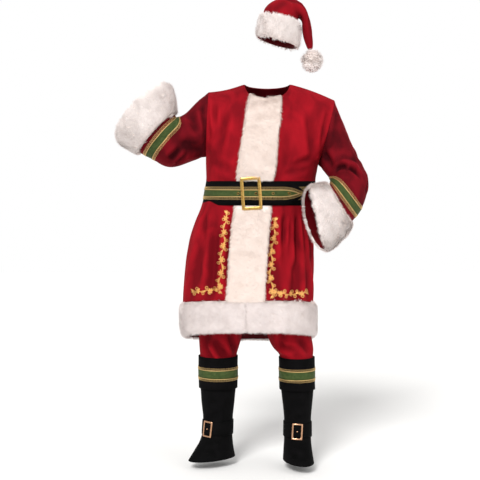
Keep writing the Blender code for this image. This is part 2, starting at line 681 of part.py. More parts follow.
def spiral(ring, values_are_points):
    """The belt ring's columns from the strap's start, round once and on to its tip."""
    turn = 4 * HALF_COLUMNS
    first = HALF_COLUMNS + BELT_START
    indices = [(first + i) % turn for i in range(turn + BELT_TIP - BELT_START + 1)]
    rows = [[row[i].copy() for i in indices] for row in ring]
    if values_are_points:
        count = len(BELT_TIP_SHAPE)
        for j, share in enumerate(BELT_TIP_SHAPE, len(indices) - count):
            middle = (rows[0][j] + rows[1][j]) / 2
            for row in rows:
                row[j] = lerp(middle, row[j], share)
    return rows


def front_place(ring, directions, distance):
    """A point and direction on the ring's middle line, a distance from centre front."""
    line = between(ring, [0.5])[0][:2 * HALF_COLUMNS + 1]
    start = length_of(line[:HALF_COLUMNS + 1])
    point = along(line, [start + distance])[0]
    nearest = min(range(len(line)), key=lambda i: (line[i] - point).length)
    return point, between(directions, [0.5])[0][nearest].normalized()


def make_belt(ring, directions):
    """The strap, its ribbon, the eyelets and the buckle."""
    points, ways = spiral(ring, True), spiral(directions, False)
    count = len(points[0])

    def strap_inner(row, column):
        return strap_height(column, count)

    def strap_outer(row, column):
        return strap_height(column, count) + STRAP

    def ribbon_inner(row, column):
        return strap_outer(row, column) + LIFT

    def ribbon_outer(row, column):
        return strap_outer(row, column) + LIFT + RIBBON

    wall("belt_strap", points, ways, strap_outer, strap_inner, BLACK_VELVET)
    edge = (1.0 - BELT_RIBBON_WIDTH / (BELT_HIGH_Z - BELT_LOW_Z)) / 2
    ribbon, ribbon_ways = between(points, [edge, 1.0 - edge]), between(ways, [edge, 1.0 - edge])
    wall("belt_ribbon", ribbon, ribbon_ways, ribbon_outer, ribbon_inner, GREEN_RIBBON)

    tail = range(count - 2 * (BELT_TIP - BELT_START), count)
    top = [[row[j] + way[j] * ribbon_outer(0, j) for j in tail]
           for row, way in zip(ribbon, ribbon_ways)]

    def seat(distance, half_width, bend):
        """The place and direction of a flat piece that just clears the tail's surface."""
        point, way = front_place(ring, directions, BUCKLE_AT + distance)
        return point + way * (rise_over(top, point, way, half_width, bend) + LIFT), way

    place, way = seat(0.0, BELT_BUCKLE.width / 2, BELT_BUCKLE.bend)
    bent_frame("belt_buckle", BELT_BUCKLE, place + way * BUCKLE_OVER_FUR, way)
    for number, distance in enumerate(BELT_EYELETS, 1):
        place, way = seat(distance, EYELET_RADIUS + EYELET_WIRE, 1.0)
        torus = new_torus(f"belt_eyelet_{number}", EYELET_RADIUS, EYELET_WIRE, BRASS)
        torus.matrix_world = Matrix.Translation(place + way * EYELET_WIRE) @ facing_matrix(way, 0.0)


def rise_over(rows, point, way, half_width, bend):
    """How far a piece bent by a radius must stand off a point to clear rows of points."""
    aside = Vector((0, 0, 1)).cross(way).normalized()
    rise = -1.0
    for row in rows:
        for before, after in zip(row, row[1:]):
            for step in range(5):
                surface = lerp(before, after, step / 4) - point
                across = surface.dot(aside)
                if abs(across) <= half_width and surface.dot(way) > -half_width:
                    rise = max(rise, surface.dot(way) + across ** 2 / (2 * bend))
    return rise


def facing_matrix(way, lean):
    """A turn that takes +Z to a direction and +Y up, leaning by degrees."""
    level = Vector((0, 0, 1)).cross(way).normalized()
    up = way.cross(level)
    turn = Matrix((level, up, way)).transposed().to_4x4()
    return turn @ Matrix.Rotation(math.radians(lean), 4, "Z")


def new_torus(name, radius, wire, finish):
    """A small ring of round wire, flat in its own XY plane."""
    bpy.ops.mesh.primitive_torus_add(major_segments=8, minor_segments=4,
                                     major_radius=radius, minor_radius=wire)
    torus = bpy.context.object
    torus.name = name
    torus.data.name = name
    torus.data.materials.append(material(finish))
    for collection in torus.users_collection:
        collection.objects.unlink(torus)
    bpy.data.collections["santa suit"].objects.link(torus)
    return torus


def rounded_loop(width, height, corner):
    """A closed loop round a rectangle with rounded corners, anticlockwise."""
    loop = []
    for index, (x_side, y_side) in enumerate(((1, -1), (1, 1), (-1, 1), (-1, -1))):
        middle = Vector((x_side * (width / 2 - corner), y_side * (height / 2 - corner)))
        for step in range(CORNER_STEPS + 1):
            angle = math.pi / 2 * (index - 1 + step / CORNER_STEPS)
            loop.append(middle + corner * Vector((math.cos(angle), math.sin(angle))))
        if x_side == y_side:
            start, end = loop[-1], Vector((-loop[-1].x, loop[-1].y))
            loop += [lerp(start, end, share) for share in (0.25, 0.5, 0.75)]
    return loop + [loop[0]]


def bent_frame(name, buckle, origin, way):
    """A buckle's frame, bent round an upright axis to lie on a rounded surface."""
    turn = facing_matrix(way, 0.0).to_3x3()
    lean = Matrix.Rotation(math.radians(buckle.lean), 2)
    grid, directions = [], []
    for inset, corner in ((buckle.bar, 0.002), (buckle.bar / 2, 0.003), (0.0, buckle.corner)):
        row, ways = [], []
        for flat in rounded_loop(buckle.width - 2 * inset, buckle.height - 2 * inset, corner):
            flat = lean @ flat
            angle = flat.x / buckle.bend
            bent = Vector((buckle.bend * math.sin(angle), flat.y, buckle.bend * (math.cos(angle) - 1)))
            row.append(origin + turn @ bent)
            ways.append(turn @ Vector((math.sin(angle), 0.0, math.cos(angle))))
        grid.append(row)
        directions.append(ways)

    def top(row, column):
        return buckle.thickness * (1.0 if row == 1 else 0.55)

    wall(name, grid, directions, top, 0.0, BRASS, closed=True)


# ------------------------------------------------------------------ trousers
def make_trousers(ring, directions):
    """The waistband inside the coat, and two legs from it down into the boot tops."""
    inside = -CLOTH - LIFT
    turn = 4 * HALF_COLUMNS
    every_second = range(0, turn + 1, 2)
    band, ways = ([[row[i] for i in every_second] for row in between(rows, WAISTBAND)]
                  for rows in (ring, directions))
    closed_band = [row[:-1] + [row[0]] for row in band]
    wall("waistband", closed_band, ways, inside, inside - CLOTH, RED_VELVET, closed=True)

    waist = [point + way * inside
             for point, way in zip(*(between(rows, [TROUSER_TOP])[0] for rows in (ring, directions)))]
    waist_middle = sum(waist[:-1], Vector()) / turn
    halves = {
        "right": (waist[HALF_COLUMNS::-1] + waist[-2:3 * HALF_COLUMNS - 1:-1], RIGHT_LEG, 1),
        "left": (waist[HALF_COLUMNS:3 * HALF_COLUMNS + 1], LEFT_LEG, -1),
    }
    skin = Skin()
    grids = {}
    for side, (half, legs, inseam) in halves.items():
        top = along(half, even_stops(0.0, length_of(half), LEG_COLUMNS))
        crotch = leg_row(legs[0], inseam)
        rows = []
        for step in range(WAIST_ROWS):
            share = step / WAIST_ROWS
            scale = lerp(1.0, HIP_SCALE, smooth(1.5 * share))
            row = []
            for from_waist, from_leg in zip(top, crotch):
                hip = waist_middle + (from_waist - waist_middle) * scale
                hip.z = lerp(from_waist.z, legs[0].z, share)
                thigh = Vector((from_leg.x, from_leg.y, hip.z))
                row.append(lerp(hip, thigh, share ** 3))
            rows.append(row)
        rows += [leg_row(leg, inseam) for leg in legs]
        grids[side] = [row[::-1] for row in rows] if side == "left" else rows
        skin.add(grids[side])
    for side, grid in grids.items():
        wall(f"trouser_{side}", grid, skin.directions(grid), 0.0, -CLOTH, RED_VELVET)


def leg_row(leg, inseam):
    """A section of a leg from its inseam over the front, outside and back to the inseam."""
    row = []
    for i in range(LEG_COLUMNS + 1):
        angle = 2 * math.pi * i / LEG_COLUMNS
        row.append(Vector((leg.x + inseam * leg.half * math.cos(angle),
                           leg.y - leg.depth * math.sin(angle), leg.z)))
    return row


# ------------------------------------------------------------------ boot tops
def boot_row(boot, turn):
    """A closed section of a boot top, its first point towards the toe."""
    heading = math.radians(turn)
    ahead = Vector((-math.sin(heading), -math.cos(heading), 0.0))
    aside = Vector((math.cos(heading), -math.sin(heading), 0.0))
    row = []
    for i in range(BOOT_COLUMNS):
        angle = 2 * math.pi * i / BOOT_COLUMNS
        row.append(Vector((boot.x, boot.y, boot.z)) + ahead * boot.along * math.cos(angle)
                   - aside * boot.across * math.sin(angle))
    return row + [row[0].copy()]


def make_boot(side, boots, foot_turn, buckle_turn):
    """One boot top: shaft, turned-down cuff, ribbon, ankle strap, buckle and stud."""
    skin = Skin()
    grid = [boot_row(boot, foot_turn) for boot in boots]
    skin.add(grid)

    def band(name, first, last, outer, inner, finish):
        rows = patch(grid, first, last)
        wall(f"boot_{side}_{name}", rows, skin.directions(rows), outer, inner, finish, closed=True)

    def cuff_inner(row, column):
        return LIFT + 0.0010 * row

    def cuff_outer(row, column):
        return cuff_inner(row, column) + BOOT_CUFF

    def ribbon_inner(row, column):
        return cuff_outer(row + BOOT_RIBBON_ROW, column) + LIFT

    def ribbon_outer(row, column):
        return ribbon_inner(row, column) + RIBBON

    band("shaft", 0, len(boots) - 1, 0.0, -CLOTH, BLACK_VELVET)
    band("cuff", 0, BOOT_CUFF_ROWS - 1, cuff_outer, cuff_inner, BLACK_VELVET)
    band("ribbon", BOOT_RIBBON_ROW, BOOT_RIBBON_ROW + 1, ribbon_outer, ribbon_inner, GREEN_RIBBON)
    band("strap", BOOT_STRAP_ROW, BOOT_STRAP_ROW + 1, LIFT + BOOT_STRAP, LIFT, BLACK_VELVET)

    facing = math.radians(buckle_turn)
    ahead = Vector((-math.sin(facing), -math.cos(facing), 0.0))
    strap = patch(grid, BOOT_STRAP_ROW, BOOT_STRAP_ROW + 1)
    ways = skin.directions(strap)
    surface = [[point + way * (LIFT + BOOT_STRAP) for point, way in zip(*pair)]
               for pair in zip(strap, ways)]
    middles = [sum(row[:-1], Vector()) / BOOT_COLUMNS for row in surface]
    edges = [middle + ahead * rise_over([row], middle, ahead, 0.02, 1e9)
             for middle, row in zip(middles, surface)]
    slope = (edges[0] - edges[1]).normalized()
    way = (ahead - slope * ahead.dot(slope)).normalized()
    middle = (edges[0] + edges[1]) / 2
    seat = middle + way * (rise_over(surface, middle, way, BOOT_BUCKLE.width * 0.6,
                                      BOOT_BUCKLE.bend) + LIFT)
    bent_frame(f"boot_{side}_buckle", BOOT_BUCKLE, seat, way)
    stud = bmesh.new()
    bmesh.ops.create_cone(stud, cap_ends=True, segments=10, radius1=STUD_RADIUS,
                          radius2=STUD_RADIUS * 0.6, depth=STUD_HEIGHT)
    seat = middle + way * (rise_over(surface, middle, way, STUD_RADIUS, 1e9) + LIFT)
    place = Matrix.Translation(seat + way * STUD_HEIGHT / 2) @ facing_matrix(way, 0.0)
    finish_object(f"boot_{side}_stud", stud, BRASS, place)


# ------------------------------------------------------------------ hat
def make_hat():
    """The drooping crown, the fur brim on its first rings and the pompom at its tip."""
    rings = HAT + [Ring(*[(HAT[-1].top_x + HAT[-1].low_x) / 2, HAT[-1].low_z - 0.004] * 2,
                        HAT[-1].y, 0.0, 0.0, 0.0)]
    rows = []
    for ring in rings:
        row = [ring_point(ring, Vector(), -2.0 * i / HAT_COLUMNS) for i in range(HAT_COLUMNS)]
        rows.append([*row, row[0].copy()])
    skin = Skin()
    skin.add(rows)
    wall("hat_crown", rows, skin.directions(rows), 0.0, -CLOTH, RED_VELVET, closed=True, capped=True)
    brim = patch(rows, 0, BRIM_ROWS - 1)
    fur_band("hat_brim", brim, skin.directions(brim), LIFT, closed=True)

    tip = rows[-1][0]
    before = (rows[-3][0] + rows[-3][HAT_COLUMNS // 2]) / 2
    centre = tip + (tip - before).normalized() * (POMPOM_RADIUS + LIFT)
    ball = bmesh.new()
    bmesh.ops.create_uvsphere(ball, u_segments=14, v_segments=9, radius=POMPOM_RADIUS)
    finish_object("hat_pompom", ball, WHITE_FUR, Matrix.Translation(centre))


def main():
    """Clear the scene and build the suit."""
    for leftover in list(bpy.data.objects):
        bpy.data.objects.remove(leftover, do_unlink=True)
    suit = bpy.data.collections.new("santa suit")
    bpy.context.scene.collection.children.link(suit)
    ring, directions = make_coat()
    make_belt(ring, directions)
    make_trousers(ring, directions)
    make_boot("right", BOOT_RIGHT, RIGHT_FOOT_TURN, 37.0)
    make_boot("left", BOOT_LEFT, LEFT_FOOT_TURN, 4.0)
    make_hat()


main()
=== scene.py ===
"""A worn santa suit: velvet coat, belt, trousers, boot tops and hat, dressed round its fixed solids."""

import json
import logging
import math
from collections import Counter
from dataclasses import dataclass
from enum import Enum
from functools import partial
from typing import Iterable, Sequence

import bmesh
import bpy
import numpy as np
from mathutils import Matrix, Vector, noise
from mathutils.bvhtree import BVHTree
from mathutils.kdtree import KDTree

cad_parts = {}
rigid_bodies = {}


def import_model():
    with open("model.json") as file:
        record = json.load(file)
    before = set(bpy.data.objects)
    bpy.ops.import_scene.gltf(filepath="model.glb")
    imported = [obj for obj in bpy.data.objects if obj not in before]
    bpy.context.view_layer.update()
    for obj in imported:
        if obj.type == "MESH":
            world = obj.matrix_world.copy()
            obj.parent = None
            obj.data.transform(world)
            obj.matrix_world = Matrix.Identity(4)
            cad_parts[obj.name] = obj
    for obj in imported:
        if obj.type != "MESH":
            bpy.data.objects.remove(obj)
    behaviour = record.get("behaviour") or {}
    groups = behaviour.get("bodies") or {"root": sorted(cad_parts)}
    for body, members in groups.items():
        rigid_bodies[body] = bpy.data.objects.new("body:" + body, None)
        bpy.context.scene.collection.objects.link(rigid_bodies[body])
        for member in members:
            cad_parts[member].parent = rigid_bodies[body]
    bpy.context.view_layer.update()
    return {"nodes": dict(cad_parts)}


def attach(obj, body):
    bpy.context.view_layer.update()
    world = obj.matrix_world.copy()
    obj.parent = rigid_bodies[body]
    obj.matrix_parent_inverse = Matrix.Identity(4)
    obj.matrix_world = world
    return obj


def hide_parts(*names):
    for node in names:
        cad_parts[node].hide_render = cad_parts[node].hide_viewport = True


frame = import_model()
log = logging.getLogger("santa_suit")

MM = 0.001
TINY = 1e-6
BODY = "root"
ORIGIN = (0.0, 0.0, 0.0)
FLOOR_Z = -1.444          # the floor on which the wearer's shoes would stand

# The thickness of each kind of wall, by which its rim is told from its two sides.
CLOTH = 0.0024
RIBBON = 0.0010
STRAP = 0.0022
BOOT_CUFF = 0.0030
BOOT_STRAP = 0.0040
FUR_RIM = 0.0024          # a fur band's long edges
FUR_HEM_END = 0.0144      # the ends of the hem's bands
FRONT_FUR_RIMS = (0.00714, 0.0117, 0.0037)
RIM_MATCH = 0.02          # by how much of it a rim's height may differ
FLAT_PAIR = math.radians(50)   # two triangles that meet within this angle are one face of the cloth

# Folds and seams.
RIPPLE_SIZE = 0.06        # from one swell of the cloth to the next
FULL_FOLD_SHADE = 0.010         # the crease height at which the painted shade in a trough, and the painted highlight on a ridge, is full
SEAM_REACH = 0.024        # how far a seam holds the cloth beside it
SEAM_GAP = 0.020          # the widest gap that a seam draws shut
RIM_SEAM = 0.012          # how far from its sleeve a fur cuff's sewn rim lies at most

Place = tuple[float, float]
Reach = tuple[float, float, float]


# ------------------------------------------------------------------ small helpers
def linear(colour: str) -> tuple[float, ...]:
    """Turn an sRGB hex colour into linear light.

    Args:
        colour: six hex digits, such as "9A1420".

    Returns:
        Red, green, blue and an alpha of 1.
    """
    values = [int(colour[start:start + 2], 16) / 255.0 for start in (0, 2, 4)]
    return *(value / 12.92 if value <= 0.04045 else ((value + 0.055) / 1.055) ** 2.4 for value in values), 1.0


def add_node(tree: bpy.types.NodeTree, kind: str, settings: dict | None = None,
             links: dict | None = None) -> bpy.types.Node:
    """Add a node, set its properties and sockets, and link what comes in.

    Args:
        tree: the node tree that takes it.
        kind: the node's type name.
        settings: values by property name, or by socket name or number.
        links: the output sockets that come in, by input socket name or number.

    Returns:
        The new node.
    """
    node = tree.nodes.new(kind)
    for key, value in (settings or {}).items():
        if isinstance(key, str) and hasattr(node, key):
            setattr(node, key, value)
        else:
            node.inputs[key].default_value = value
    for key, socket in (links or {}).items():
        tree.links.new(socket, node.inputs[key])
    return node


def smooth_step(values: np.ndarray) -> np.ndarray:
    """Ease values from 0 to 1, flat at both ends."""
    clipped = np.clip(values, 0.0, 1.0)
    return clipped * clipped * (3.0 - 2.0 * clipped)


def vectors(items: bpy.types.bpy_prop_collection, value: str) -> np.ndarray:
    """Read one vector of each of a mesh's items.

    Args:
        items: the mesh's points, or its point normals.
        value: the vector's name.

    Returns:
        One row for each item.
    """
    flat = np.empty(len(items) * 3, np.float32)
    items.foreach_get(value, flat)
    return flat.reshape(-1, 3).astype(float)


def coordinates(mesh: bpy.types.Mesh) -> np.ndarray:
    """Read a mesh's points as an array of rows."""
    return vectors(mesh.vertices, "co")


def move_points(mesh: bpy.types.Mesh, points: np.ndarray) -> None:
    """Write an array of rows back as a mesh's points."""
    mesh.vertices.foreach_set("co", points.astype(np.float32).ravel())
    mesh.update()


def to_mesh(name: str, shell: bmesh.types.BMesh, *materials: bpy.types.Material) -> bpy.types.Mesh:
    """Make a mesh of what was modelled, and free the model.

    Args:
        name: the mesh's name.
        shell: the model.
        materials: the mesh's materials.

    Returns:
        The mesh.
    """
    mesh = bpy.data.meshes.new(name)
    shell.to_mesh(mesh)
    shell.free()
    for material in materials:
        mesh.materials.append(material)
    return mesh


def link(item: bpy.types.Object) -> bpy.types.Object:
    """Put an object in the scene."""
    bpy.context.scene.collection.objects.link(item)
    return item


def new_object(name: str, mesh: bpy.types.Mesh) -> bpy.types.Object:
    """Put a mesh in the scene, smoothly shaded, as an object at the origin."""
    mesh.shade_smooth()
    return link(bpy.data.objects.new(name, mesh))


def evaluated(name: str, piece: bpy.types.Object) -> bpy.types.Object:
    """Apply an object's modifiers or curve shape.

    Args:
        name: the new object's name.
        piece: the object to evaluate, which is removed.

    Returns:
        A plain mesh object at the origin.
    """
    bpy.context.view_layer.update()
    mesh = bpy.data.meshes.new_from_object(piece.evaluated_get(bpy.context.evaluated_depsgraph_get()))
    mesh.transform(piece.matrix_world)
    bpy.data.objects.remove(piece, do_unlink=True)
    mesh.name = name
    return new_object(name, mesh)


def subdivided(name: str, mesh: bpy.types.Mesh, levels: int) -> bpy.types.Object:
    """Smooth a mesh by subdivision.

    Args:
        name: the new object's name.
        mesh: the coarse mesh.
        levels: how many times each face is divided.

    Returns:
        A plain mesh object.
    """
    rough = new_object(name + "_cage", mesh)
    smooth = rough.modifiers.new("smooth", "SUBSURF")
    smooth.levels = smooth.render_levels = levels
    smooth.boundary_smooth = "PRESERVE_CORNERS"
    return evaluated(name, rough)


def hand_over(piece: bpy.types.Object, slot: str, *nodes: str) -> bpy.types.Object:
    """Let a finished piece ride on the suit, and stand for the solids that it dresses.

    Args:
        piece: the finished piece.
        slot: the name of a material slot in the record; not used.
        nodes: the names of the solids that it replaces.

    Returns:
        The same piece.
    """
    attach(piece, BODY)
    if nodes:
        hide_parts(*nodes)
    log.info("%s: %d triangles", piece.name,
             sum(len(face.vertices) - 2 for face in piece.data.polygons))
    return piece


def thread(name: str, lines: Iterable[Sequence[Vector]], radius: float, material: bpy.types.Material,
           closed: bool = False) -> bpy.types.Object:
    """Lay threads or cords, four-sided because they are so thin, along lines.

    Args:
        name: the object's name.
        lines: the points of each thread.
        radius: the thread's radius in metres.
        material: its material.
        closed: whether the lines close on themselves.

    Returns:
        One mesh object that holds all the threads.
    """
    curve = bpy.data.curves.new(name, "CURVE")
    curve.dimensions = "3D"
    curve.bevel_depth = radius
    curve.bevel_resolution = 0
    curve.use_fill_caps = True
    for line in lines:
        spline = curve.splines.new("POLY")
        spline.points.add(len(line) - 1)
        spline.points.foreach_set("co", [value for point in line for value in (*point, 1.0)])
        spline.use_cyclic_u = closed
    curve.materials.append(material)
    piece = evaluated(name, link(bpy.data.objects.new(name + "_line", curve)))
    bpy.data.curves.remove(curve)
    return piece


def joined(name: str, pieces: Sequence[bpy.types.Object]) -> bpy.types.Object:
    """Join meshes of one material into one object.

    Args:
        name: the new object's name.
        pieces: the objects, which are removed.

    Returns:
        The new object.
    """
    whole = bmesh.new()
    material = pieces[0].data.materials[0]
    for piece in pieces:
        whole.from_mesh(piece.data)
        bpy.data.objects.remove(piece, do_unlink=True)
    return new_object(name, to_mesh(name, whole, material))


# ------------------------------------------------------------------ finishes
class Weave(Enum):
    """How a cloth's surface is made."""

    PILE = "short cut pile, fur or smooth satin"
    RIBBED = "ribbon with fine cross ribs"


@dataclass(frozen=True)
class Finish:
    """What a surface is made of, and the two colours that it varies between."""

    name: str
    colour: str
    shade: str                # where the pile lies the other way, or the metal is worn; on cloth also the painted shade in a crease's trough

    def material(self) -> bpy.types.Material:
        """Make the material, or find it when it was made before.

        Returns:
            The material.
        """
        made = bpy.data.materials.get(self.name)
        if made is None:
            made = bpy.data.materials.new(self.name)
            made.use_nodes = True
            self.dress(made.node_tree, made.node_tree.nodes["Principled BSDF"])
        return made

    def surface(self, tree: bpy.types.NodeTree, shader: bpy.types.Node, share: bpy.types.NodeSocket,
                height: bpy.types.NodeSocket, relief: tuple[float, float]) -> None:
        """Colour the surface and raise its fine relief.

        Args:
            tree: the material's nodes.
            shader: its shader.
            share: how much of the first colour shows, from 0 to 1.
            height: the relief, from 0 to 1.
            relief: the relief's strength, and its height in millimetres.
        """
        strength, rise_mm = relief
        colour = add_node(tree, "ShaderNodeMix",
                          {"data_type": "RGBA", 6: linear(self.shade), 7: linear(self.colour)}, {0: share})
        tree.links.new(colour.outputs[2], shader.inputs["Base Color"])
        bump = add_node(tree, "ShaderNodeBump", {"Strength": strength, "Distance": rise_mm * MM},
                        {"Height": height})
        tree.links.new(bump.outputs["Normal"], shader.inputs["Normal"])


@dataclass(frozen=True)
class Cloth(Finish):
    """A textile: its colours, its sheen and the size of what shows on its surface."""

    sheen: float
    sheen_colour: str
    roughness: float
    grain_mm: float           # spacing of the pile's tufts or the ribbon's ribs
    mottle_mm: float          # size of the patches where the pile lies brushed
    bump_mm: float
    weave: Weave = Weave.PILE
    drawn_out: float = 1.0    # below 1 where the patches are longer up and down
    specular: float = 0.06    # fibres mirror next to nothing
    sheen_roughness: float = 0.35
    brushed: Place = (0.32, 0.68)   # the noise at which a patch lies wholly one way or the other
    grain_share: float = 0.35       # how much of the colour's change is the fine grain's
    fold_share: float = 0.55        # how much a full crease paints shade into its trough and highlight onto its ridge

    def dress(self, tree: bpy.types.NodeTree, shader: bpy.types.Node) -> None:
        """Build the material's nodes.

        Args:
            tree: the material's nodes.
            shader: its shader.
        """
        for socket, value in (("Roughness", self.roughness), ("Specular IOR Level", self.specular),
                              ("Sheen Weight", self.sheen), ("Sheen Roughness", self.sheen_roughness),
                              ("Sheen Tint", linear(self.sheen_colour))):
            shader.inputs[socket].default_value = value
        add = partial(add_node, tree)
        place = add("ShaderNodeTexCoord").outputs["Object"]
        drawn = add("ShaderNodeMapping", {"Scale": (1.0, 1.0, self.drawn_out)}, {"Vector": place})
        patches = add("ShaderNodeTexNoise", {"Scale": 1.0 / (self.mottle_mm * MM), "Detail": 2.0,
                                             "Roughness": 0.4, "Distortion": 0.7},
                      {"Vector": drawn.outputs["Vector"]})
        grain = self.grain(tree, place)
        spread = add("ShaderNodeMapRange", {"From Min": self.brushed[0], "From Max": self.brushed[1]},
                     {"Value": patches.outputs["Fac"]})
        blend = add("ShaderNodeMix", {"data_type": "FLOAT", 0: self.grain_share},
                    {2: spread.outputs["Result"], 3: grain})
        # Painted shade in the creases' troughs and painted highlight on their ridges, from the heights that
        # press_folds keeps
        fold = add("ShaderNodeAttribute", {"attribute_name": "fold"})
        shown = add("ShaderNodeMath", {"operation": "MULTIPLY_ADD", 1: self.fold_share, "use_clamp": True},
                    {0: fold.outputs["Fac"], 2: blend.outputs[0]})
        self.surface(tree, shader, shown.outputs[0], grain, (0.6, self.bump_mm))

    def grain(self, tree: bpy.types.NodeTree, place: bpy.types.NodeSocket) -> bpy.types.NodeSocket:
        """Add the nodes of the fine surface.

        Args:
            tree: the material's nodes.
            place: the point's place on the object.

        Returns:
            The surface's height from 0 to 1.
        """
        scale = 1.0 / (self.grain_mm * MM)
        if self.weave is Weave.RIBBED:
            run = add_node(tree, "ShaderNodeUVMap", {"uv_map": "run"}).outputs["UV"]
            ribs = scale * math.tau / 20.0   # the wave texture has 20 bands to a turn
            return add_node(tree, "ShaderNodeTexWave",
                            {"wave_type": "BANDS", "bands_direction": "X", "Scale": ribs,
                             "Distortion": 1.0, "Detail": 1.0}, {"Vector": run}).outputs["Fac"]
        return add_node(tree, "ShaderNodeTexNoise", {"Scale": scale, "Detail": 2.0, "Roughness": 0.6},
                        {"Vector": place}).outputs["Fac"]


@dataclass(frozen=True)
class Metal(Finish):
    """A cast or drawn metal: its colours, how rough it is and its fine scratches."""

    roughness: float
    mark_mm: float            # size of its scratches and worn spots
    polished: float = 0.7     # the roughness where it is bright, against its usual one
    worn: float = 1.4         # and where it is worn

    def dress(self, tree: bpy.types.NodeTree, shader: bpy.types.Node) -> None:
        """Build the material's nodes.

        Args:
            tree: the material's nodes.
            shader: its shader.
        """
        shader.inputs["Metallic"].default_value = 1.0
        add = partial(add_node, tree)
        place = add("ShaderNodeTexCoord").outputs["Object"]
        marks = add("ShaderNodeTexNoise",
                    {"Scale": 1.0 / (self.mark_mm * MM), "Detail": 4.0, "Roughness": 0.6},
                    {"Vector": place}).outputs["Fac"]
        rough = add("ShaderNodeMapRange", {"To Min": self.polished * self.roughness,
                                           "To Max": self.worn * self.roughness}, {"Value": marks})
        tree.links.new(rough.outputs["Result"], shader.inputs["Roughness"])
        self.surface(tree, shader, marks, marks, (0.25, 0.3))


# Cotton velvet: a dense cut pile, dark looked at straight on and light along its folds through its sheen,
# with painted shade in the creases' troughs and painted highlight on their ridges.
RED_VELVET = Cloth("red cotton velvet", "96101C", "660812", 0.24, "D4222F", 0.85, 2.2, 62.0, 0.5,
                   drawn_out=0.55)
# The same velvet in a darker colour, for the sleeves.
RED_VELVET_DARKER = Cloth("red cotton velvet, pile across", "6F0C17", "36040A", 0.26, "D8283A", 0.85, 2.2,
                          52.0, 0.5, drawn_out=0.7)
# The same velvet in black, on the belt and the boot tops.
BLACK_VELVET = Cloth("black cotton velvet", "090809", "030303", 0.06, "605E64", 0.85, 2.2, 40.0, 0.5)
# Acetate satin lining: thin and smooth, with a soft shine.
LINING = Cloth("dark red satin lining", "5E0A12", "430509", 0.1, "C05058", 0.45, 4.0, 60.0, 0.2)
# Acrylic fur: pile some 13 mm long on a knitted back, white with faintly rosy hollows.
WHITE_FUR = Cloth("white acrylic fur", "FCF5F2", "F5EDEA", 0.18, "FFFFFF", 0.95, 3.5, 24.0, 2.0)
# The same fur in a warmer, slightly darker colour, for the front band.
WARM_FUR = Cloth("white acrylic fur, brushed flat", "F4E7DF", "EDDFD6", 0.15, "FFFFFF", 0.95, 3.5, 24.0, 2.0)
# The same fur in a greyer colour, for the hem: painted shade between its fibres.
SHADED_FUR = Cloth("white acrylic fur, loose pile", "ECE3E0", "E2D8D5", 0.15, "FFFFFF", 0.95, 3.5, 24.0, 2.0)
# The knitted back of the fur, seen only between the fibres and greyer than they are: painted shade between
# the fibres.
FUR_BACK_SHADE = Cloth("knitted back of the fur", "E6DBD5", "DDD0CA", 0.05, "FFFFFF", 0.95, 3.5, 24.0, 1.0)
# Woven lurex ribbon: its ribs are a little under a millimetre apart, and are drawn coarser so that they show.
GREEN_RIBBON = Cloth("green woven ribbon", "46532E", "2B3B1E", 0.10, "A8B080", 0.6, 2.4, 9.0, 0.5,
                     Weave.RIBBED)
# Wool felt, matt and almost black, laid in an eyelet's hole as painted shadow.
HOLE_SHADOW_FELT = Cloth("black felt", "0B0A0A", "040404", 0.0, "404040", 0.95, 1.5, 10.0, 0.3)
# Gilt thread: thin metal foil wound round a cotton core, bright and a little rough.
GOLD_THREAD = Metal("gilt embroidery thread", "F0D498", "C8A468", 0.45, 3.0)
# The same thread worked flat in satin stitch: more orange, because its strands lie side by side.
EMBROIDERY = Metal("gilt satin stitch", "F8CE86", "D9A559", 0.50, 3.0)
# Cast brass, lacquered, for the belt's buckle and eyelets.
BRASS = Metal("lacquered cast brass", "D3AC62", "A98243", 0.26, 14.0)
# Copper-tinted cast brass for the boot buckles.
ROSE_BRASS = Metal("rose brass", "D5A888", "AD8060", 0.28, 14.0)


# ------------------------------------------------------------------ surfaces from the fixed solids
class Wall:
    """A wall of cloth, read from a fixed solid and sorted into its outer and inner side."""

    def __init__(self, node: str, rims: Sequence[float]) -> None:
        """Read a solid.

        Args:
            node: its name.
            rims: the heights of the narrow faces between its two sides, in metres.
        """
        self.shell = bmesh.new()
        self.shell.from_mesh(frame["nodes"][node].data)
        bmesh.ops.remove_doubles(self.shell, verts=self.shell.verts[:], dist=10 * TINY)
        self.pile = self.shell.faces.layers.float.new("pile")
        self.crease = self.shell.edges.layers.float.new("crease_edge")
        self.rim = {face for face in self.shell.faces
                    if any(abs(edge.calc_length() - height) < RIM_MATCH * height
                           for edge in face.edges for height in rims)}
        self.outer = max(self.groups(), key=lambda group: sum(face.calc_area() for face in group))

    def groups(self) -> list[list[bmesh.types.BMFace]]:
        """Collect the faces that hang together without the rim.

        Returns:
            The faces of each group.
        """
        groups, seen = [], set(self.rim)
        for start in self.shell.faces:
            if start in seen:
                continue
            group, waiting = [], [start]
            seen.add(start)
            while waiting:
                face = waiting.pop()
                group.append(face)
                for edge in face.edges:
                    fresh = [other for other in edge.link_faces if other not in seen]
                    seen.update(fresh)
                    waiting.extend(fresh)
            groups.append(group)
        return groups

    def keep_outer(self) -> None:
        """Leave only the outer side, as an open sheet."""
        kept = set(self.outer)
        bmesh.ops.delete(self.shell, geom=[face for face in self.shell.faces if face not in kept],
                         context="FACES")

    def make_quads(self) -> None:
        """Dissolve the diagonals, so that the sheet subdivides evenly."""
        diagonals = []
        for edge in self.shell.edges:
            if len(edge.link_faces) == 2 and edge.calc_face_angle(math.pi) < FLAT_PAIR:
                length = edge.calc_length() + 0.1 * TINY
                if all(len(face.verts) == 3 and length >= max(side.calc_length() for side in face.edges)
                       for face in edge.link_faces):
                    diagonals.append(edge)
        bmesh.ops.dissolve_edges(self.shell, edges=diagonals, use_verts=False)

    def to_object(self, name: str, levels: int) -> bpy.types.Object:
        """Smooth the wall by subdivision, as an object of its own."""
        return subdivided(name, to_mesh(name, self.shell), levels)


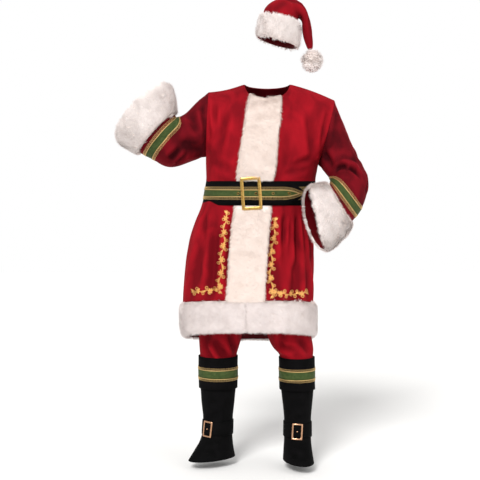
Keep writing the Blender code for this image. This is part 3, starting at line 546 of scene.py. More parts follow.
@dataclass(frozen=True)
class Crease:
    """A soft trough (or ridge, where its depth is negative) seen from the front or from behind.

    Its ends are places across and up, in metres; the cloth under them gives their depth.
    """

    start: Place
    end: Place
    depth: float
    width: float
    bow: float = 0.0          # how far its middle hangs below a straight line
    behind: bool = False
    steps: int = 7
    fade_in: float = 0.3      # the share of its length over which it starts
    fade_out: float = 0.35    # and ends
    shoulder: float = 0.38    # the height of the low shoulders beside it, against its depth
    shoulder_away: float = 1.9   # how far they are from its middle, against its width
    shoulder_width: float = 0.85

    def line_on(self, cloth: BVHTree) -> np.ndarray:
        """Lay the crease's line on a piece of cloth.

        Args:
            cloth: the cloth's outer side.

        Returns:
            The line's points.
        """
        way = -1.0 if self.behind else 1.0
        line = []
        for step in range(self.steps + 1):
            share = step / self.steps
            across = self.start[0] + (self.end[0] - self.start[0]) * share
            hang = self.bow * 4.0 * share * (1.0 - share)
            up = self.start[1] + (self.end[1] - self.start[1]) * share - hang
            place = cloth.ray_cast(Vector((across, -way, up)), Vector((0.0, way, 0.0)))[0]
            if place is None:
                place = cloth.find_nearest(Vector((across, line[-1][1] if line else -0.1 * way, up)))[0]
            line.append((across, place.y, up))
        return np.array(line)

    def height_at(self, points: np.ndarray, cloth: BVHTree) -> np.ndarray:
        """Work out the crease's height: a round trough between two low shoulders, fading at its ends.

        Args:
            points: the cloth's points.
            cloth: its outer side.

        Returns:
            How far each point moves out of the cloth, negative into it.
        """
        line = self.line_on(cloth)
        least = np.full(len(points), np.inf)
        along = np.zeros(len(points))
        for index, (start, end) in enumerate(zip(line, line[1:])):
            run = end - start
            share = np.clip((points - start) @ run / max(run @ run, TINY ** 2), 0.0, 1.0)
            away = np.linalg.norm(points - (start + share[:, None] * run), axis=1)
            closer = away < least
            least[closer] = away[closer]
            along[closer] = (index + share[closer]) / self.steps
        away = least / self.width
        fade = smooth_step(along / self.fade_in) * smooth_step((1.0 - along) / self.fade_out)
        trough = np.exp(-away ** 2)
        shoulder = self.shoulder * np.exp(-((away - self.shoulder_away) / self.shoulder_width) ** 2)
        return -self.depth * (trough - shoulder) * fade


def creases(rows: Iterable[Sequence[float]], behind: bool = False) -> tuple[Crease, ...]:
    """Read a table of creases.

    Args:
        rows: across and up for its start and its end, depth, width and, if any, bow, in millimetres.
        behind: whether they are on the suit's back.

    Returns:
        The creases.
    """
    table = []
    for row in rows:
        left, high, right, low, *shape = (value / 1000 for value in row)
        table.append(Crease((left, high), (right, low), *shape, behind=behind))
    return tuple(table)


def cloth_tree(mesh: bpy.types.Mesh) -> BVHTree:
    """Build a search tree of a mesh's faces."""
    return BVHTree.FromPolygons([vertex.co for vertex in mesh.vertices],
                                [tuple(face.vertices) for face in mesh.polygons])


def open_edge(mesh: bpy.types.Mesh, points: np.ndarray, above: float) -> list[int]:
    """Find the points on a sheet's open edges above a height.

    Args:
        mesh: the open sheet.
        points: its points.
        above: the height.

    Returns:
        The points' numbers.
    """
    uses = Counter(key for face in mesh.polygons for key in face.edge_keys)
    return sorted({corner for key, count in uses.items() if count == 1 for corner in key
                   if points[corner][2] > above})


def nearest(points: np.ndarray, targets: np.ndarray) -> tuple[np.ndarray, np.ndarray]:
    """Find the target nearest to each point.

    Args:
        points: the points.
        targets: the places to choose from.

    Returns:
        The number of each point's target, and its distance.
    """
    tree = KDTree(len(targets))
    for index, target in enumerate(targets):
        tree.insert(target, index)
    tree.balance()
    found = [tree.find(point) for point in points]
    return np.array([index for _, index, _ in found]), np.array([distance for _, _, distance in found])


def sew(piece: bpy.types.Object, edges: np.ndarray, above: float) -> None:
    """Draw a sheet's open edge to the edges that it is sewn to, with the cloth beside it.

    Args:
        piece: the open sheet.
        edges: the points of the other pieces' edges.
        above: the height over which its open edges are sewn.
    """
    points = coordinates(piece.data)
    own = open_edge(piece.data, points, above)
    number, gap = nearest(points[own], edges)
    pull = np.where(gap[:, None] < SEAM_GAP, edges[number] - points[own], 0.0)
    number, away = nearest(points, points[own])
    move_points(piece.data, points + pull[number] * (1.0 - smooth_step(away / SEAM_REACH))[:, None])


def press_folds(piece: bpy.types.Object, folds: Iterable[Crease], ripple: float,
                sewn_above: float | None) -> None:
    """Move the points of a cloth along its normals for its folds and a slight unevenness.

    How high each point lies is kept as a point attribute, from -1 in a trough to 1 on a ridge, for painted
    shade in the troughs and painted highlight on the ridges.

    Args:
        piece: the open sheet.
        folds: its creases.
        ripple: the height of the unevenness in metres.
        sewn_above: the height over which its open edges are sewn to another piece, and lie still.
    """
    points, out = coordinates(piece.data), vectors(piece.data.vertex_normals, "vector")
    rise = np.zeros(len(points))
    cloth = cloth_tree(piece.data)
    for crease in folds:
        rise += crease.height_at(points, cloth)
    if ripple:
        rise += ripple * np.array([noise.noise(Vector(point) / RIPPLE_SIZE) for point in points])
    if sewn_above is not None:
        away = nearest(points, points[open_edge(piece.data, points, sewn_above)])[1]
        rise *= smooth_step(away / SEAM_REACH)
    # painted shade and highlight: each point's crease height, which the material turns into darker troughs
    # and lighter ridges
    fold = piece.data.attributes.new("fold", "FLOAT", "POINT")
    fold.data.foreach_set("value", np.clip(rise / FULL_FOLD_SHADE, -1.0, 1.0).astype(np.float32))
    move_points(piece.data, points + out * rise[:, None])


def thicken(piece: bpy.types.Object, thickness: float, outside: bpy.types.Material,
            inside: bpy.types.Material | None = None) -> bpy.types.Object:
    """Give an open sheet its thickness, inwards, and its materials.

    Args:
        piece: the open sheet, which is replaced.
        thickness: the cloth's thickness in metres, negative to grow outwards.
        outside: the material of its outer side and edges.
        inside: the material of its inner side, or None for the same.

    Returns:
        The closed shell.
    """
    name = piece.name
    piece.name = name + "_open"
    piece.data.materials.clear()
    piece.data.materials.append(outside)
    solidify = piece.modifiers.new("thickness", "SOLIDIFY")
    solidify.thickness = thickness
    solidify.offset = -1.0
    solidify.use_even_offset = False
    if inside:
        piece.data.materials.append(inside)
        solidify.material_offset = 1
    return evaluated(name, piece)


# ------------------------------------------------------------------ fur
@dataclass(frozen=True)
class Lock:
    """A lock of fur fibres that lie fanned out, which is repeated all over a band."""

    fibres: int = 9
    length: float = 0.0135
    uneven: float = 0.18      # how much of the length differs from fibre to fibre
    width: float = 0.0017
    rooted: float = 0.0015    # how deep a fibre's root lies in the band
    root_spread: float = 0.0026
    root_stagger: float = 0.0022
    fan: float = 0.42         # how far the outer fibres turn aside, in radians
    stray: float = 0.12       # and how far each strays from that
    lift: float = 0.30        # how far the highest fibres stand off the others, in radians
    phases: tuple[float, ...] = (5.0, 2.7, 3.1, 4.3)   # fibre to fibre: of the length, lift, stray and root
    lift_turn: float = 1.9    # how much faster the lift changes from lock to lock

    def mesh(self, name: str, turn: float) -> bpy.types.Mesh:
        """Model one lock that points along +Z with its face towards +Y.

        Args:
            name: the mesh's name.
            turn: a phase in radians that makes one lock differ from the next.

        Returns:
            The lock's mesh.
        """
        lock = bmesh.new()
        long, high, astray, deep = self.phases
        for index in range(self.fibres):
            side = 2.0 * (index + 0.5) / self.fibres - 1.0
            length = self.length * (1.0 - self.uneven + self.uneven * math.cos(long * index + turn))
            made = bmesh.ops.create_circle(lock, cap_ends=True, segments=3, radius=self.width / 2)["verts"]
            tip = max(made, key=lambda vertex: vertex.co.y)
            for vertex in made:
                vertex.co = Vector((vertex.co.x, 0.0, -self.rooted))
            tip.co = Vector((0.0, 0.0, length))
            rise = self.lift * (0.5 + 0.5 * math.cos(high * index + self.lift_turn * turn))
            lean = Matrix.Rotation(-rise, 4, "X")
            spread = self.fan * side + self.stray * math.sin(astray * index + turn)
            aside = Matrix.Rotation(spread, 4, "Y")
            root = Matrix.Translation((self.root_spread * side, 0.0,
                                       self.root_stagger * math.sin(deep * index + turn)))
            bmesh.ops.transform(lock, matrix=root @ aside @ lean, verts=made)
        return to_mesh(name, lock)


@dataclass(frozen=True)
class Pile:
    """Fur that grows from a band: how densely, and which way it is brushed."""

    brushed: Reach = (0.0, 0.0, -0.8)
    stand: float = 0.32       # how far the pile stands up, against how far it is brushed
    finish: Cloth = WHITE_FUR
    per_square_metre: float = 62000.0
    sizes: tuple[float, float] = (0.7, 1.15)   # the smallest and largest lock, against the model
    unevenness: float = 1.2   # how far its direction wanders from patch to patch
    patch: float = 0.034      # size of the patches that lie alike
    flattened: float = 0.65   # how much of a direction into or out of the band is taken out
    lock: Lock = Lock()
    kinds: int = 4
    phase: float = 1.7        # between one kind of lock and the next, in radians

    def grow(self, name: str, base: bpy.types.Object, seed: int) -> bpy.types.Object:
        """Grow the fur on the faces of a band that are marked as pile.

        Args:
            name: the new object's name.
            base: the band, with a face attribute named pile.
            seed: the seed of its random places.

        Returns:
            A plain mesh object that holds all the fur of the band.
        """
        store = bpy.data.collections.new(name + "_locks")
        for kind in range(self.kinds):
            lock = f"{name}_lock_{kind}"
            store.objects.link(bpy.data.objects.new(lock, self.lock.mesh(lock, self.phase * kind)))
        tree = self.tree(name + "_grow", store, seed)
        field = link(bpy.data.objects.new(name + "_field", base.data.copy()))
        field.modifiers.new("grow", "NODES").node_group = tree
        grown = evaluated(name, field)
        for lock in list(store.objects):
            bpy.data.objects.remove(lock, do_unlink=True)
        bpy.data.collections.remove(store)
        bpy.data.node_groups.remove(tree)
        return grown

    def tree(self, name: str, store: bpy.types.Collection, seed: int) -> bpy.types.NodeTree:
        """Build the nodes that set a lock on each root, leaning the way that its patch is brushed.

        Args:
            name: the node tree's name.
            store: the kinds of lock.
            seed: the seed of the roots' places; the locks' sizes take another.

        Returns:
            The node tree.
        """
        tree = bpy.data.node_groups.new(name, "GeometryNodeTree")
        for way in ("INPUT", "OUTPUT"):
            tree.interface.new_socket("Geometry", in_out=way, socket_type="NodeSocketGeometry")
        add = partial(add_node, tree)
        band = add("NodeGroupInput").outputs[0]
        mask = add("GeometryNodeInputNamedAttribute", {"data_type": "FLOAT", "Name": "pile"}).outputs[0]
        density = add("ShaderNodeMath", {"operation": "MULTIPLY", 1: self.per_square_metre},
                      {0: mask}).outputs[0]
        roots = add("GeometryNodeDistributePointsOnFaces", {"Seed": seed}, {"Mesh": band, "Density": density})
        place = add("GeometryNodeInputPosition").outputs[0]
        wander = add("ShaderNodeTexNoise", {"Scale": 1.0 / self.patch, "Detail": 1.0}, {"Vector": place})
        centred = add("ShaderNodeVectorMath", {"operation": "SUBTRACT", 1: (0.5,) * 3},
                      {0: wander.outputs["Color"]}).outputs[0]
        strayed = add("ShaderNodeVectorMath", {"operation": "SCALE", 3: self.unevenness},
                      {0: centred}).outputs[0]
        lean = add("ShaderNodeVectorMath", {"operation": "ADD", 1: self.brushed}, {0: strayed}).outputs[0]
        normal = roots.outputs["Normal"]
        into = add("ShaderNodeVectorMath", {"operation": "PROJECT"}, {0: lean, 1: normal}).outputs[0]
        flat = add("ShaderNodeVectorMath", {"operation": "MULTIPLY_ADD", 1: (-self.flattened,) * 3},
                   {0: into, 2: lean}).outputs[0]
        way = add("ShaderNodeVectorMath", {"operation": "MULTIPLY_ADD", 1: (self.stand,) * 3},
                  {0: normal, 2: flat}).outputs[0]
        facing = add("FunctionNodeAlignRotationToVector", {"axis": "Z"}, {"Vector": way}).outputs[0]
        spun = add("FunctionNodeAlignRotationToVector", {"axis": "Y", "pivot_axis": "Z"},
                   {"Rotation": facing, "Vector": normal}).outputs[0]
        size = add("FunctionNodeRandomValue", {"data_type": "FLOAT", 2: self.sizes[0], 3: self.sizes[1],
                                               "Seed": seed + 2}).outputs[1]
        locks = add("GeometryNodeCollectionInfo",
                    {"Collection": store, "Separate Children": True, "Reset Children": True}).outputs[0]
        spread = add("GeometryNodeInstanceOnPoints", {"Pick Instance": True},
                     {"Points": roots.outputs["Points"], "Instance": locks, "Rotation": spun, "Scale": size})
        real = add("GeometryNodeRealizeInstances", None, {0: spread.outputs[0]}).outputs[0]
        dyed = add("GeometryNodeSetMaterial", {"Material": self.finish.material()},
                   {"Geometry": real}).outputs[0]
        add("NodeGroupOutput", None, {0: dyed})
        return tree


@dataclass(frozen=True)
class FurBand:
    """A band of fur: a soft bolster with its pile."""

    node: str
    rims: tuple[float, ...]
    pile: Pile
    seed: int
    pressed: tuple[float, float] | None = None   # heights between which something presses the pile flat
    sewn_to: str = ""         # the cloth that one of its rims is sewn to
    levels: int = 2

    def build(self) -> None:
        """Model the band and grow its fur."""
        wall = Wall(self.node, self.rims)
        covered = set(wall.outer) | wall.rim
        if self.sewn_to:
            covered -= self.sewn_rim(wall)
        for face in wall.shell.faces:
            face[wall.pile] = 1.0 if face in covered else 0.0
            face.material_index = 0 if face in covered else 1
        for face in wall.rim:
            for edge in face.edges:
                edge[wall.crease] = 1.0
        wall.make_quads()
        band = wall.to_object(self.node + "_band", self.levels)
        if self.pressed:
            low, high = self.pressed
            pile = band.data.attributes["pile"].data
            for face in band.data.polygons:
                if low < face.center.z < high:
                    pile[face.index].value = 0.0
        # the band shows between the fibres in a greyer colour: painted shade
        band.data.materials.append(FUR_BACK_SHADE.material())
        band.data.materials.append(LINING.material())
        hand_over(band, "white_fur", self.node)
        hand_over(self.pile.grow(self.node + "_pile", band, self.seed), "white_fur")

    def sewn_rim(self, wall: Wall) -> set[bmesh.types.BMFace]:
        """Find the rim's faces that lie on the cloth that it is sewn to, where no pile grows.

        Args:
            wall: the band's wall.

        Returns:
            Those faces.
        """
        cloth = Wall(self.sewn_to, ()).shell
        skin = BVHTree.FromBMesh(cloth)
        cloth.free()
        return {face for face in wall.rim
                if skin.find_nearest(face.calc_center_median(), RIM_SEAM)[0] is not None}


# ------------------------------------------------------------------ ribbons, cords and picots
def boundary_loops(shell: bmesh.types.BMesh) -> list[list[bmesh.types.BMVert]]:
    """Follow the open edges of a sheet round.

    Args:
        shell: the open sheet.

    Returns:
        The points of each loop in order.
    """
    left = {edge for edge in shell.edges if len(edge.link_faces) == 1}
    loops = []
    for start in [edge for edge in shell.edges if edge in left]:
        if start not in left:
            continue
        left.remove(start)
        loop = [start.verts[0], start.verts[1]]
        while onward := next((edge for edge in loop[-1].link_edges if edge in left), None):
            left.remove(onward)
            loop.append(onward.other_vert(loop[-1]))
        loops.append(loop[:-1])
    return loops


def long_edges(node: str, rims: Sequence[float]) -> tuple[np.ndarray, np.ndarray, bool]:
    """Read a ribbon's solid as two rows of points, one for each long edge.

    Args:
        node: the solid's name.
        rims: the thicknesses of its wall.

    Returns:
        The two rows, and whether they close on themselves.
    """
    wall = Wall(node, rims)
    wall.keep_outer()
    wall.make_quads()
    loops = boundary_loops(wall.shell)
    closed = len(loops) == 2
    if closed:
        one, other = loops
        first = min(range(len(other)), key=lambda index: (other[index].co - one[0].co).length)
        other = other[first:] + other[:first]
        if (one[1].co - one[0].co).dot(other[1].co - other[0].co) < 0.0:
            other = other[:1] + other[:0:-1]
    else:
        loop = loops[0]
        first = next(index for index, vertex in enumerate(loop) if len(vertex.link_edges) == 2)
        loop = loop[first:] + loop[:first + 1]
        corners = [index for index, vertex in enumerate(loop) if len(vertex.link_edges) == 2]
        sides = [loop[start:stop + 1] for start, stop in zip(corners, corners[1:])]
        one, other = sorted(sides, key=len)[-2:]
        other = other[::-1]
    rows = [np.array([vertex.co[:] for vertex in row]) for row in (one, other)]
    wall.shell.free()
    return rows[0], rows[1], closed


def smooth_row(points: np.ndarray, closed: bool, steps: int = 8) -> np.ndarray:
    """Round off a row of points with a cubic spline, as subdivision rounds off a mesh.

    Args:
        points: the row.
        closed: whether it closes on itself.
        steps: the new points for each old one.

    Returns:
        The new row.
    """
    if closed:
        guides = np.concatenate([points[-1:], points, points[:2]])
    else:
        guides = np.concatenate([2 * points[:1] - points[1:2], points, 2 * points[-1:] - points[-2:-1]])
    share = np.arange(steps) / steps
    weights = np.stack([(1 - share) ** 3, 3 * share ** 3 - 6 * share ** 2 + 4,
                        -3 * share ** 3 + 3 * share ** 2 + 3 * share + 1, share ** 3], axis=1) / 6
    spans = np.stack([guides[:-3], guides[1:-2], guides[2:-1], guides[3:]], axis=1)
    row = np.einsum("sk,nkc->nsc", weights, spans).reshape(-1, 3)
    return row if closed else np.concatenate([row, points[-1:]])


def distances_along(line: np.ndarray) -> np.ndarray:
    """Measure how far along a line each of its points lies."""
    return np.concatenate([[0.0], np.cumsum(np.linalg.norm(np.diff(line, axis=0), axis=1))])


def lay_on(skin: BVHTree, points: np.ndarray, lift: np.ndarray | float) -> np.ndarray:
    """Move points onto a piece of cloth and then off it by a height.

    Args:
        skin: the cloth's outer side.
        points: the points, near the cloth.
        lift: their height over it in metres, one for all or one each.

    Returns:
        The moved points.
    """
    laid = []
    for point, height in zip(points, np.broadcast_to(lift, len(points))):
        place, normal, _, _ = skin.find_nearest(Vector(point))
        laid.append((place + normal * height)[:])
    return np.array(laid)


class Track:
    """The run of a ribbon: a place for each distance along it and each distance in from an edge."""

    def __init__(self, node: str, rims: Sequence[float], least: float, beside: Reach | None) -> None:
        """Read the run from a ribbon's solid.

        Args:
            node: the solid's name.
            rims: the thicknesses of its wall.
            least: the least width of the run in metres.
            beside: a place by the edge that stays where it is while the run widens.
        """
        one, other, self.closed = long_edges(node, rims)
        rows = [smooth_row(row, self.closed) for row in (one, other)]
        if self.closed:
            rows = [np.concatenate([row, row[:1]]) for row in rows]
        if beside:
            rows.sort(key=lambda row: np.linalg.norm(row.mean(0) - beside))
        across = rows[1] - rows[0]
        across *= np.maximum(1.0, least / np.maximum(np.linalg.norm(across, axis=1)[:, None], TINY))
        self.edges = [rows[0], rows[0] + across]
        self.marks = distances_along(rows[0] + across / 2)

    @property
    def length(self) -> float:
        """The length of its middle line in metres."""
        return float(self.marks[-1])

    def places(self, distances: np.ndarray, inset: np.ndarray | float, edge: int) -> np.ndarray:
        """Find places on the ribbon's run.

        Args:
            distances: how far along it, in metres.
            inset: how far in from the edge, in metres.
            edge: 0 or 1, the edge that the inset is counted from.

        Returns:
            One row for each place.
        """
        near, far = (np.stack([np.interp(distances, self.marks, row[:, axis]) for axis in range(3)], axis=1)
                     for row in (self.edges[edge], self.edges[1 - edge]))
        width = np.linalg.norm(far - near, axis=1)
        share = np.minimum(np.broadcast_to(inset, len(distances)) / np.maximum(width, TINY), 0.5)
        return near + (far - near) * share[:, None]

    def spaced(self, pitch: float, points: int) -> tuple[np.ndarray, np.ndarray]:
        """Space points evenly for something that repeats along the run.

        Args:
            pitch: about how far one repeat is from the next.
            points: the points of each repeat.

        Returns:
            Each point's distance along the run, and its angle, a full turn for each repeat.
        """
        repeats = round(self.length / pitch)
        count = repeats * points
        distances = np.arange(count + (0 if self.closed else 1)) * self.length / count
        return distances, math.tau * repeats * distances / self.length


@dataclass(frozen=True)
class Braid:
    """A green ribbon with a gilt cord along each edge and a row of picots beyond each cord."""

    node: str
    least: float = 0.0        # the braid's least width
    beside: Reach | None = None   # a place by the edge that stays put
    picot: float = 0.0118     # how far the picots reach from the middle of the cord
    pitch: float = 0.0098     # from one picot to the next
    picot_points: int = 10
    lean: float = 0.26        # how far a picot's loop bulges sideways, against the pitch
    fullness: float = 0.7     # below 1 where the picots' loops are rounder
    cord: float = 0.00090     # the radius of each of the cord's two strands
    twist: float = 0.010      # the length of one turn of the cord
    twist_points: int = 6
    rise: float = 0.8         # how far a strand rises and falls, against its radius
    thread: float = 0.00060   # the radius of the picots' thread
    lift: float = 0.0005
    ribbon: float = 0.0006    # the ribbon's thickness
    column: float = 0.006     # the length of one of its faces
    lines: int = 5            # of points across it

    def build(self, skin: BVHTree) -> None:
        """Model the braid on the cloth that carries it.

        Args:
            skin: the outer side of that cloth.
        """
        track = Track(self.node, (RIBBON,), self.least, self.beside)
        self.weave(track, skin)
        for part, lines, radius in (("_gilt", self.cords(track, skin), self.cord),
                                    ("_picots", self.picots(track, skin), self.thread)):
            hand_over(thread(self.node + part, lines, radius, GOLD_THREAD.material(), track.closed),
                      "green_ribbon")

    def weave(self, track: Track, skin: BVHTree) -> None:
        """Model the green ribbon between the cords.

        Args:
            track: the braid's run.
            skin: the outer side of the cloth.
        """
        distances = np.linspace(0.0, track.length, round(track.length / self.column) + 1)
        near, far = (track.places(distances, self.picot, edge) for edge in (0, 1))
        rows = [lay_on(skin, near + (far - near) * share, self.lift)
                for share in np.linspace(0.0, 1.0, self.lines)]
        if track.closed:
            rows = [np.concatenate([row[:-1], row[:1]]) for row in rows]
        width = float(np.linalg.norm(rows[0] - rows[-1], axis=1).mean())
        strip = self.strip(rows, track.length, width, skin)
        shell = thicken(strip, -self.ribbon, GREEN_RIBBON.material())
        hand_over(shell, "green_ribbon", self.node)

    def strip(self, rows: Sequence[np.ndarray], length: float, width: float,
              skin: BVHTree) -> bpy.types.Object:
        """Make an open strip from rows of points, with its length and width in metres as UV.

        Args:
            rows: the points along each line, from one edge to the other.
            length: the strip's length in metres.
            width: its width in metres.
            skin: the outer side of the cloth, which the strip faces away from.

        Returns:
            The open strip.
        """
        columns, lines = len(rows[0]) - 1, len(rows) - 1
        strip = bmesh.new()
        bmesh.ops.create_grid(strip, x_segments=columns, y_segments=lines, size=0.5)
        run = strip.loops.layers.uv.new("run")
        spots = {vertex: (round((vertex.co.x + 0.5) * columns), round((vertex.co.y + 0.5) * lines))
                 for vertex in strip.verts}
        for face in strip.faces:
            for corner in face.loops:
                column, line = spots[corner.vert]
                corner[run].uv = (column * length / columns, line * width / lines)
        for vertex, (column, line) in spots.items():
            vertex.co = Vector(rows[line][column])
        bmesh.ops.remove_doubles(strip, verts=strip.verts[:], dist=TINY)
        strip.normal_update()
        strip.faces.ensure_lookup_table()
        middle = strip.faces[len(strip.faces) // 3]
        if middle.normal.dot(skin.find_nearest(middle.calc_center_median())[1]) < 0.0:
            bmesh.ops.reverse_faces(strip, faces=strip.faces[:])
        name = self.node + "_cloth"
        return new_object(name, to_mesh(name, strip))

    def cords(self, track: Track, skin: BVHTree) -> Iterable[np.ndarray]:
        """Work out the two twisted strands along each edge of the ribbon.

        Args:
            track: the braid's run.
            skin: the outer side of the cloth.

        Returns:
            The points of each strand.
        """
        distances, angle = track.spaced(self.twist, self.twist_points)
        for edge in (0, 1):
            for strand in (0.0, math.pi):
                across = self.picot + self.cord * np.cos(angle + strand)
                height = self.lift + self.cord * (1.0 + self.rise * np.sin(angle + strand))
                yield lay_on(skin, track.places(distances, across, edge), height)

    def picots(self, track: Track, skin: BVHTree) -> Iterable[np.ndarray]:
        """Work out the looped thread beyond each cord.

        Args:
            track: the braid's run.
            skin: the outer side of the cloth.

        Returns:
            The points of each thread.
        """
        distances, angle = track.spaced(self.pitch, self.picot_points)
        swing = 0.5 - 0.5 * np.cos(angle)
        inset = (self.picot - self.cord) * (1.0 - swing ** self.fullness) + self.thread
        place = np.clip(distances + self.lean * self.pitch * np.sin(2.0 * angle), 0.0, track.length)
        for edge in (0, 1):
            yield lay_on(skin, track.places(place, inset, edge), self.lift + self.thread)


# ------------------------------------------------------------------ cloth panels
@dataclass(frozen=True)
class Dressed:
    """A finished panel's outer side, and its open edges where other pieces are sewn to it."""

    skin: BVHTree
    edges: np.ndarray


@dataclass(frozen=True)
class Panel:
    """A cut piece of cloth, dressed on its fixed solid."""

    node: str
    flat: Place               # the width and length of its cut
    area: float               # and the area of that cut
    folds: tuple[Crease, ...] = ()
    rim: float = CLOTH
    outside: Cloth = RED_VELVET
    inside: Cloth | None = LINING
    slot: str = "red_velvet"
    held: str = "hung"
    levels: int = 3
    ripple: float = 0.0012
    sewn_above: float | None = None
    inset: float = 0.9        # the shell's thickness against the solid's

    def build(self, sewn_to: Sequence[Dressed] = ()) -> Dressed:
        """Args:
            sewn_to: the panels that its open edge is sewn to.

        Returns:
            The panel's outer side and edges, for what is sewn on it.
        """
        wall = Wall(self.node, (self.rim,))
        wall.keep_outer()
        wall.make_quads()
        sheet = wall.to_object(self.node + "_cloth", self.levels)
        press_folds(sheet, self.folds, self.ripple, self.sewn_above)
        if sewn_to:
            sew(sheet, np.concatenate([panel.edges for panel in sewn_to]), self.sewn_above)
        points = coordinates(sheet.data)
        made = Dressed(cloth_tree(sheet.data), points[open_edge(sheet.data, points, -math.inf)])
        shell = thicken(sheet, self.rim * self.inset, self.outside.material(),
                        self.inside.material() if self.inside else None)
        hand_over(shell, self.slot, self.node)
        return made


# ------------------------------------------------------------------ embroidery
# What grows at each flower. The side is 1 for the flower's own, and the way is 1 for on along the stem.
# tendrils: how far ahead of the flower, side, length, way, thickness against the stem
TENDRILS = (
    (-0.006, 1.0, 0.0190, 1.0, 1.0),
    (0.006, -1.0, 0.0175, 1.0, 1.0),
    (-0.010, -1.0, 0.0150, -1.0, 0.9),
)
# leaves: how far ahead of the flower, the angle that they turn off the stem in radians
LEAVES = ((0.020, 0.75), (-0.022, -0.6))
# leaves at the stem's ends: the angle that they turn off it
END_LEAVES = (-0.6, 0.0, 0.6)


@dataclass(frozen=True)
class Vine:
    """A scroll vine in gilt thread: a waving stem with curls, leaves and small flowers."""

    name: str
    course: tuple[Place, ...]   # places across and up that the stem follows
    hand: float               # 1 or -1, the side of the first flower
    repeat: float = 0.048     # from one flower to the next
    sway: float = 0.0042      # how far the stem swings to each side
    stem: float = 0.0016      # the stem's radius
    step: float = 0.001       # from one point of its middle line to the next
    stitch: float = 0.004     # from one point of the sewn stem to the next
    curl_points: int = 15
    curl_start: float = -150.0   # where on its circle a tendril's curl starts, in degrees
    curl_turn: float = 480.0  # how far it turns
    curl_width: Place = (0.42, 0.30)   # its radius, and how much of that it loses, against its length
    curl_eye: Place = (0.52, 0.50)     # the curl's middle along and aside, against its length
    leaf_length: float = 0.0105
    leaf_belly: Place = (0.45, 0.0015)   # where the leaf is widest, and half its width
    leaf_thread: float = 1.3  # the thickness of its thread against the stem
    end_thread: float = 1.2   # and of the leaves at the stem's ends
    end_inset: float = 0.006  # how far from the stem's end they start
    off_stem: float = 0.003   # how far a flower sits off the stem
    flower_turn: float = 0.7  # from one flower to the next, in radians
    flower_lift: float = 0.0006
    petals: int = 6
    petal: float = 0.0130     # a petal's length
    petal_width: float = 0.46   # against its length
    petal_height: float = 0.0044
    petal_away: float = 0.52  # from the flower's middle to the petal's, against its length
    heart: float = 0.0026     # the radius of the flower's heart
    heart_lift: float = 0.0012
    up_step: float = 0.002    # how far above its middle the point is that gives a flower's upward side
    front: float = -0.17      # how far forward the cloth is sought past its edge

    def run(self) -> np.ndarray:
        """Sample the stem's middle line evenly.

        Returns:
            One row, across and up, for each point.
        """
        line = smooth_row(np.array([(*place, 0.0) for place in self.course]), closed=False, steps=24)[:, :2]
        marks = distances_along(line)
        places = np.arange(0.0, marks[-1], self.step)
        return np.stack([np.interp(places, marks, line[:, axis]) for axis in (0, 1)], axis=1)

    def frame_at(self, line: np.ndarray, distance: float) -> tuple[np.ndarray, np.ndarray, np.ndarray]:
        """Find the stem's place, its direction and its left side at a distance along it.

        Args:
            line: the stem's middle line.
            distance: the distance in metres.

        Returns:
            The three flat vectors.
        """
        index = min(max(round(distance / self.step), 1), len(line) - 2)
        along = line[index + 1] - line[index - 1]
        along = along / np.linalg.norm(along)
        aside = np.array([-along[1], along[0]])
        swing = self.hand * self.sway * math.sin(math.pi * distance / self.repeat)
        return line[index] + aside * swing, along, aside

    def sprays(self, total: float) -> Iterable[tuple[float, float]]:
        """Place the flowers along the stem.

        Args:
            total: the stem's length.

        Returns:
            How far along it each flower sits, and its side, 1 or -1.
        """
        count = max(1, round(total / self.repeat))
        for number in range(count):
            yield (number + 0.5) * total / count, self.hand * (1 if number % 2 else -1)

    def threads(self, line: np.ndarray) -> Iterable[tuple[np.ndarray, float]]:
        """Work out the threads of the stem, the tendrils and the leaves.

        Args:
            line: the stem's middle line.

        Returns:
            The flat points of each thread and its radius.
        """
        total = self.step * len(line)
        margin = self.stitch / 2
        yield np.array([self.frame_at(line, distance)[0]
                        for distance in np.arange(margin, total - margin, self.stitch)]), self.stem
        for start, side in self.sprays(total):
            for ahead, hand, size, way, share in TENDRILS:
                yield self.tendril(line, start + ahead, hand * side, size, way), share * self.stem
            for ahead, turn in LEAVES:
                yield self.leaf(line, start + ahead, turn * side, 1.0), self.leaf_thread * self.stem
        for end, way in ((self.end_inset, -1.0), (total - self.end_inset, 1.0)):
            for turn in END_LEAVES:
                yield self.leaf(line, end, turn, way), self.end_thread * self.stem

    def tendril(self, line: np.ndarray, distance: float, side: float, size: float, way: float) -> np.ndarray:
        """Work out one tendril that leaves the stem and curls up.

        Args:
            line: the stem's middle line.
            distance: how far along it the tendril leaves.
            side: 1 or -1, the side that it leaves to.
            size: how far it reaches.
            way: 1 or -1, whether it runs on along the stem or back.

        Returns:
            The tendril's flat points.
        """
        root, along, aside = self.frame_at(line, distance)
        ahead, out = along * way, aside * side
        eye = root + ahead * self.curl_eye[0] * size + out * self.curl_eye[1] * size
        points = [root]
        for share in np.linspace(0.0, 1.0, self.curl_points):
            angle = math.radians(self.curl_start + self.curl_turn * share)
            radius = size * (self.curl_width[0] - self.curl_width[1] * share)
            points.append(eye + (ahead * math.cos(angle) + out * math.sin(angle)) * radius)
        return np.array(points)

    def leaf(self, line: np.ndarray, distance: float, turn: float, way: float) -> np.ndarray:
        """Work out one leaf: a short doubled stitch that leans off the stem.

        Args:
            line: the stem's middle line.
            distance: how far along it the leaf starts.
            turn: how far it turns off the stem, in radians.
            way: 1 or -1, whether it runs on along the stem or back.

        Returns:
            The leaf's flat points.
        """
        root, along, aside = self.frame_at(line, distance)
        heading = along * way * math.cos(turn) + aside * math.sin(turn)
        across = np.array([-heading[1], heading[0]]) * self.leaf_belly[1]
        belly = root + heading * self.leaf_belly[0] * self.leaf_length
        return np.array([root, belly + across, root + heading * self.leaf_length, belly - across, root])

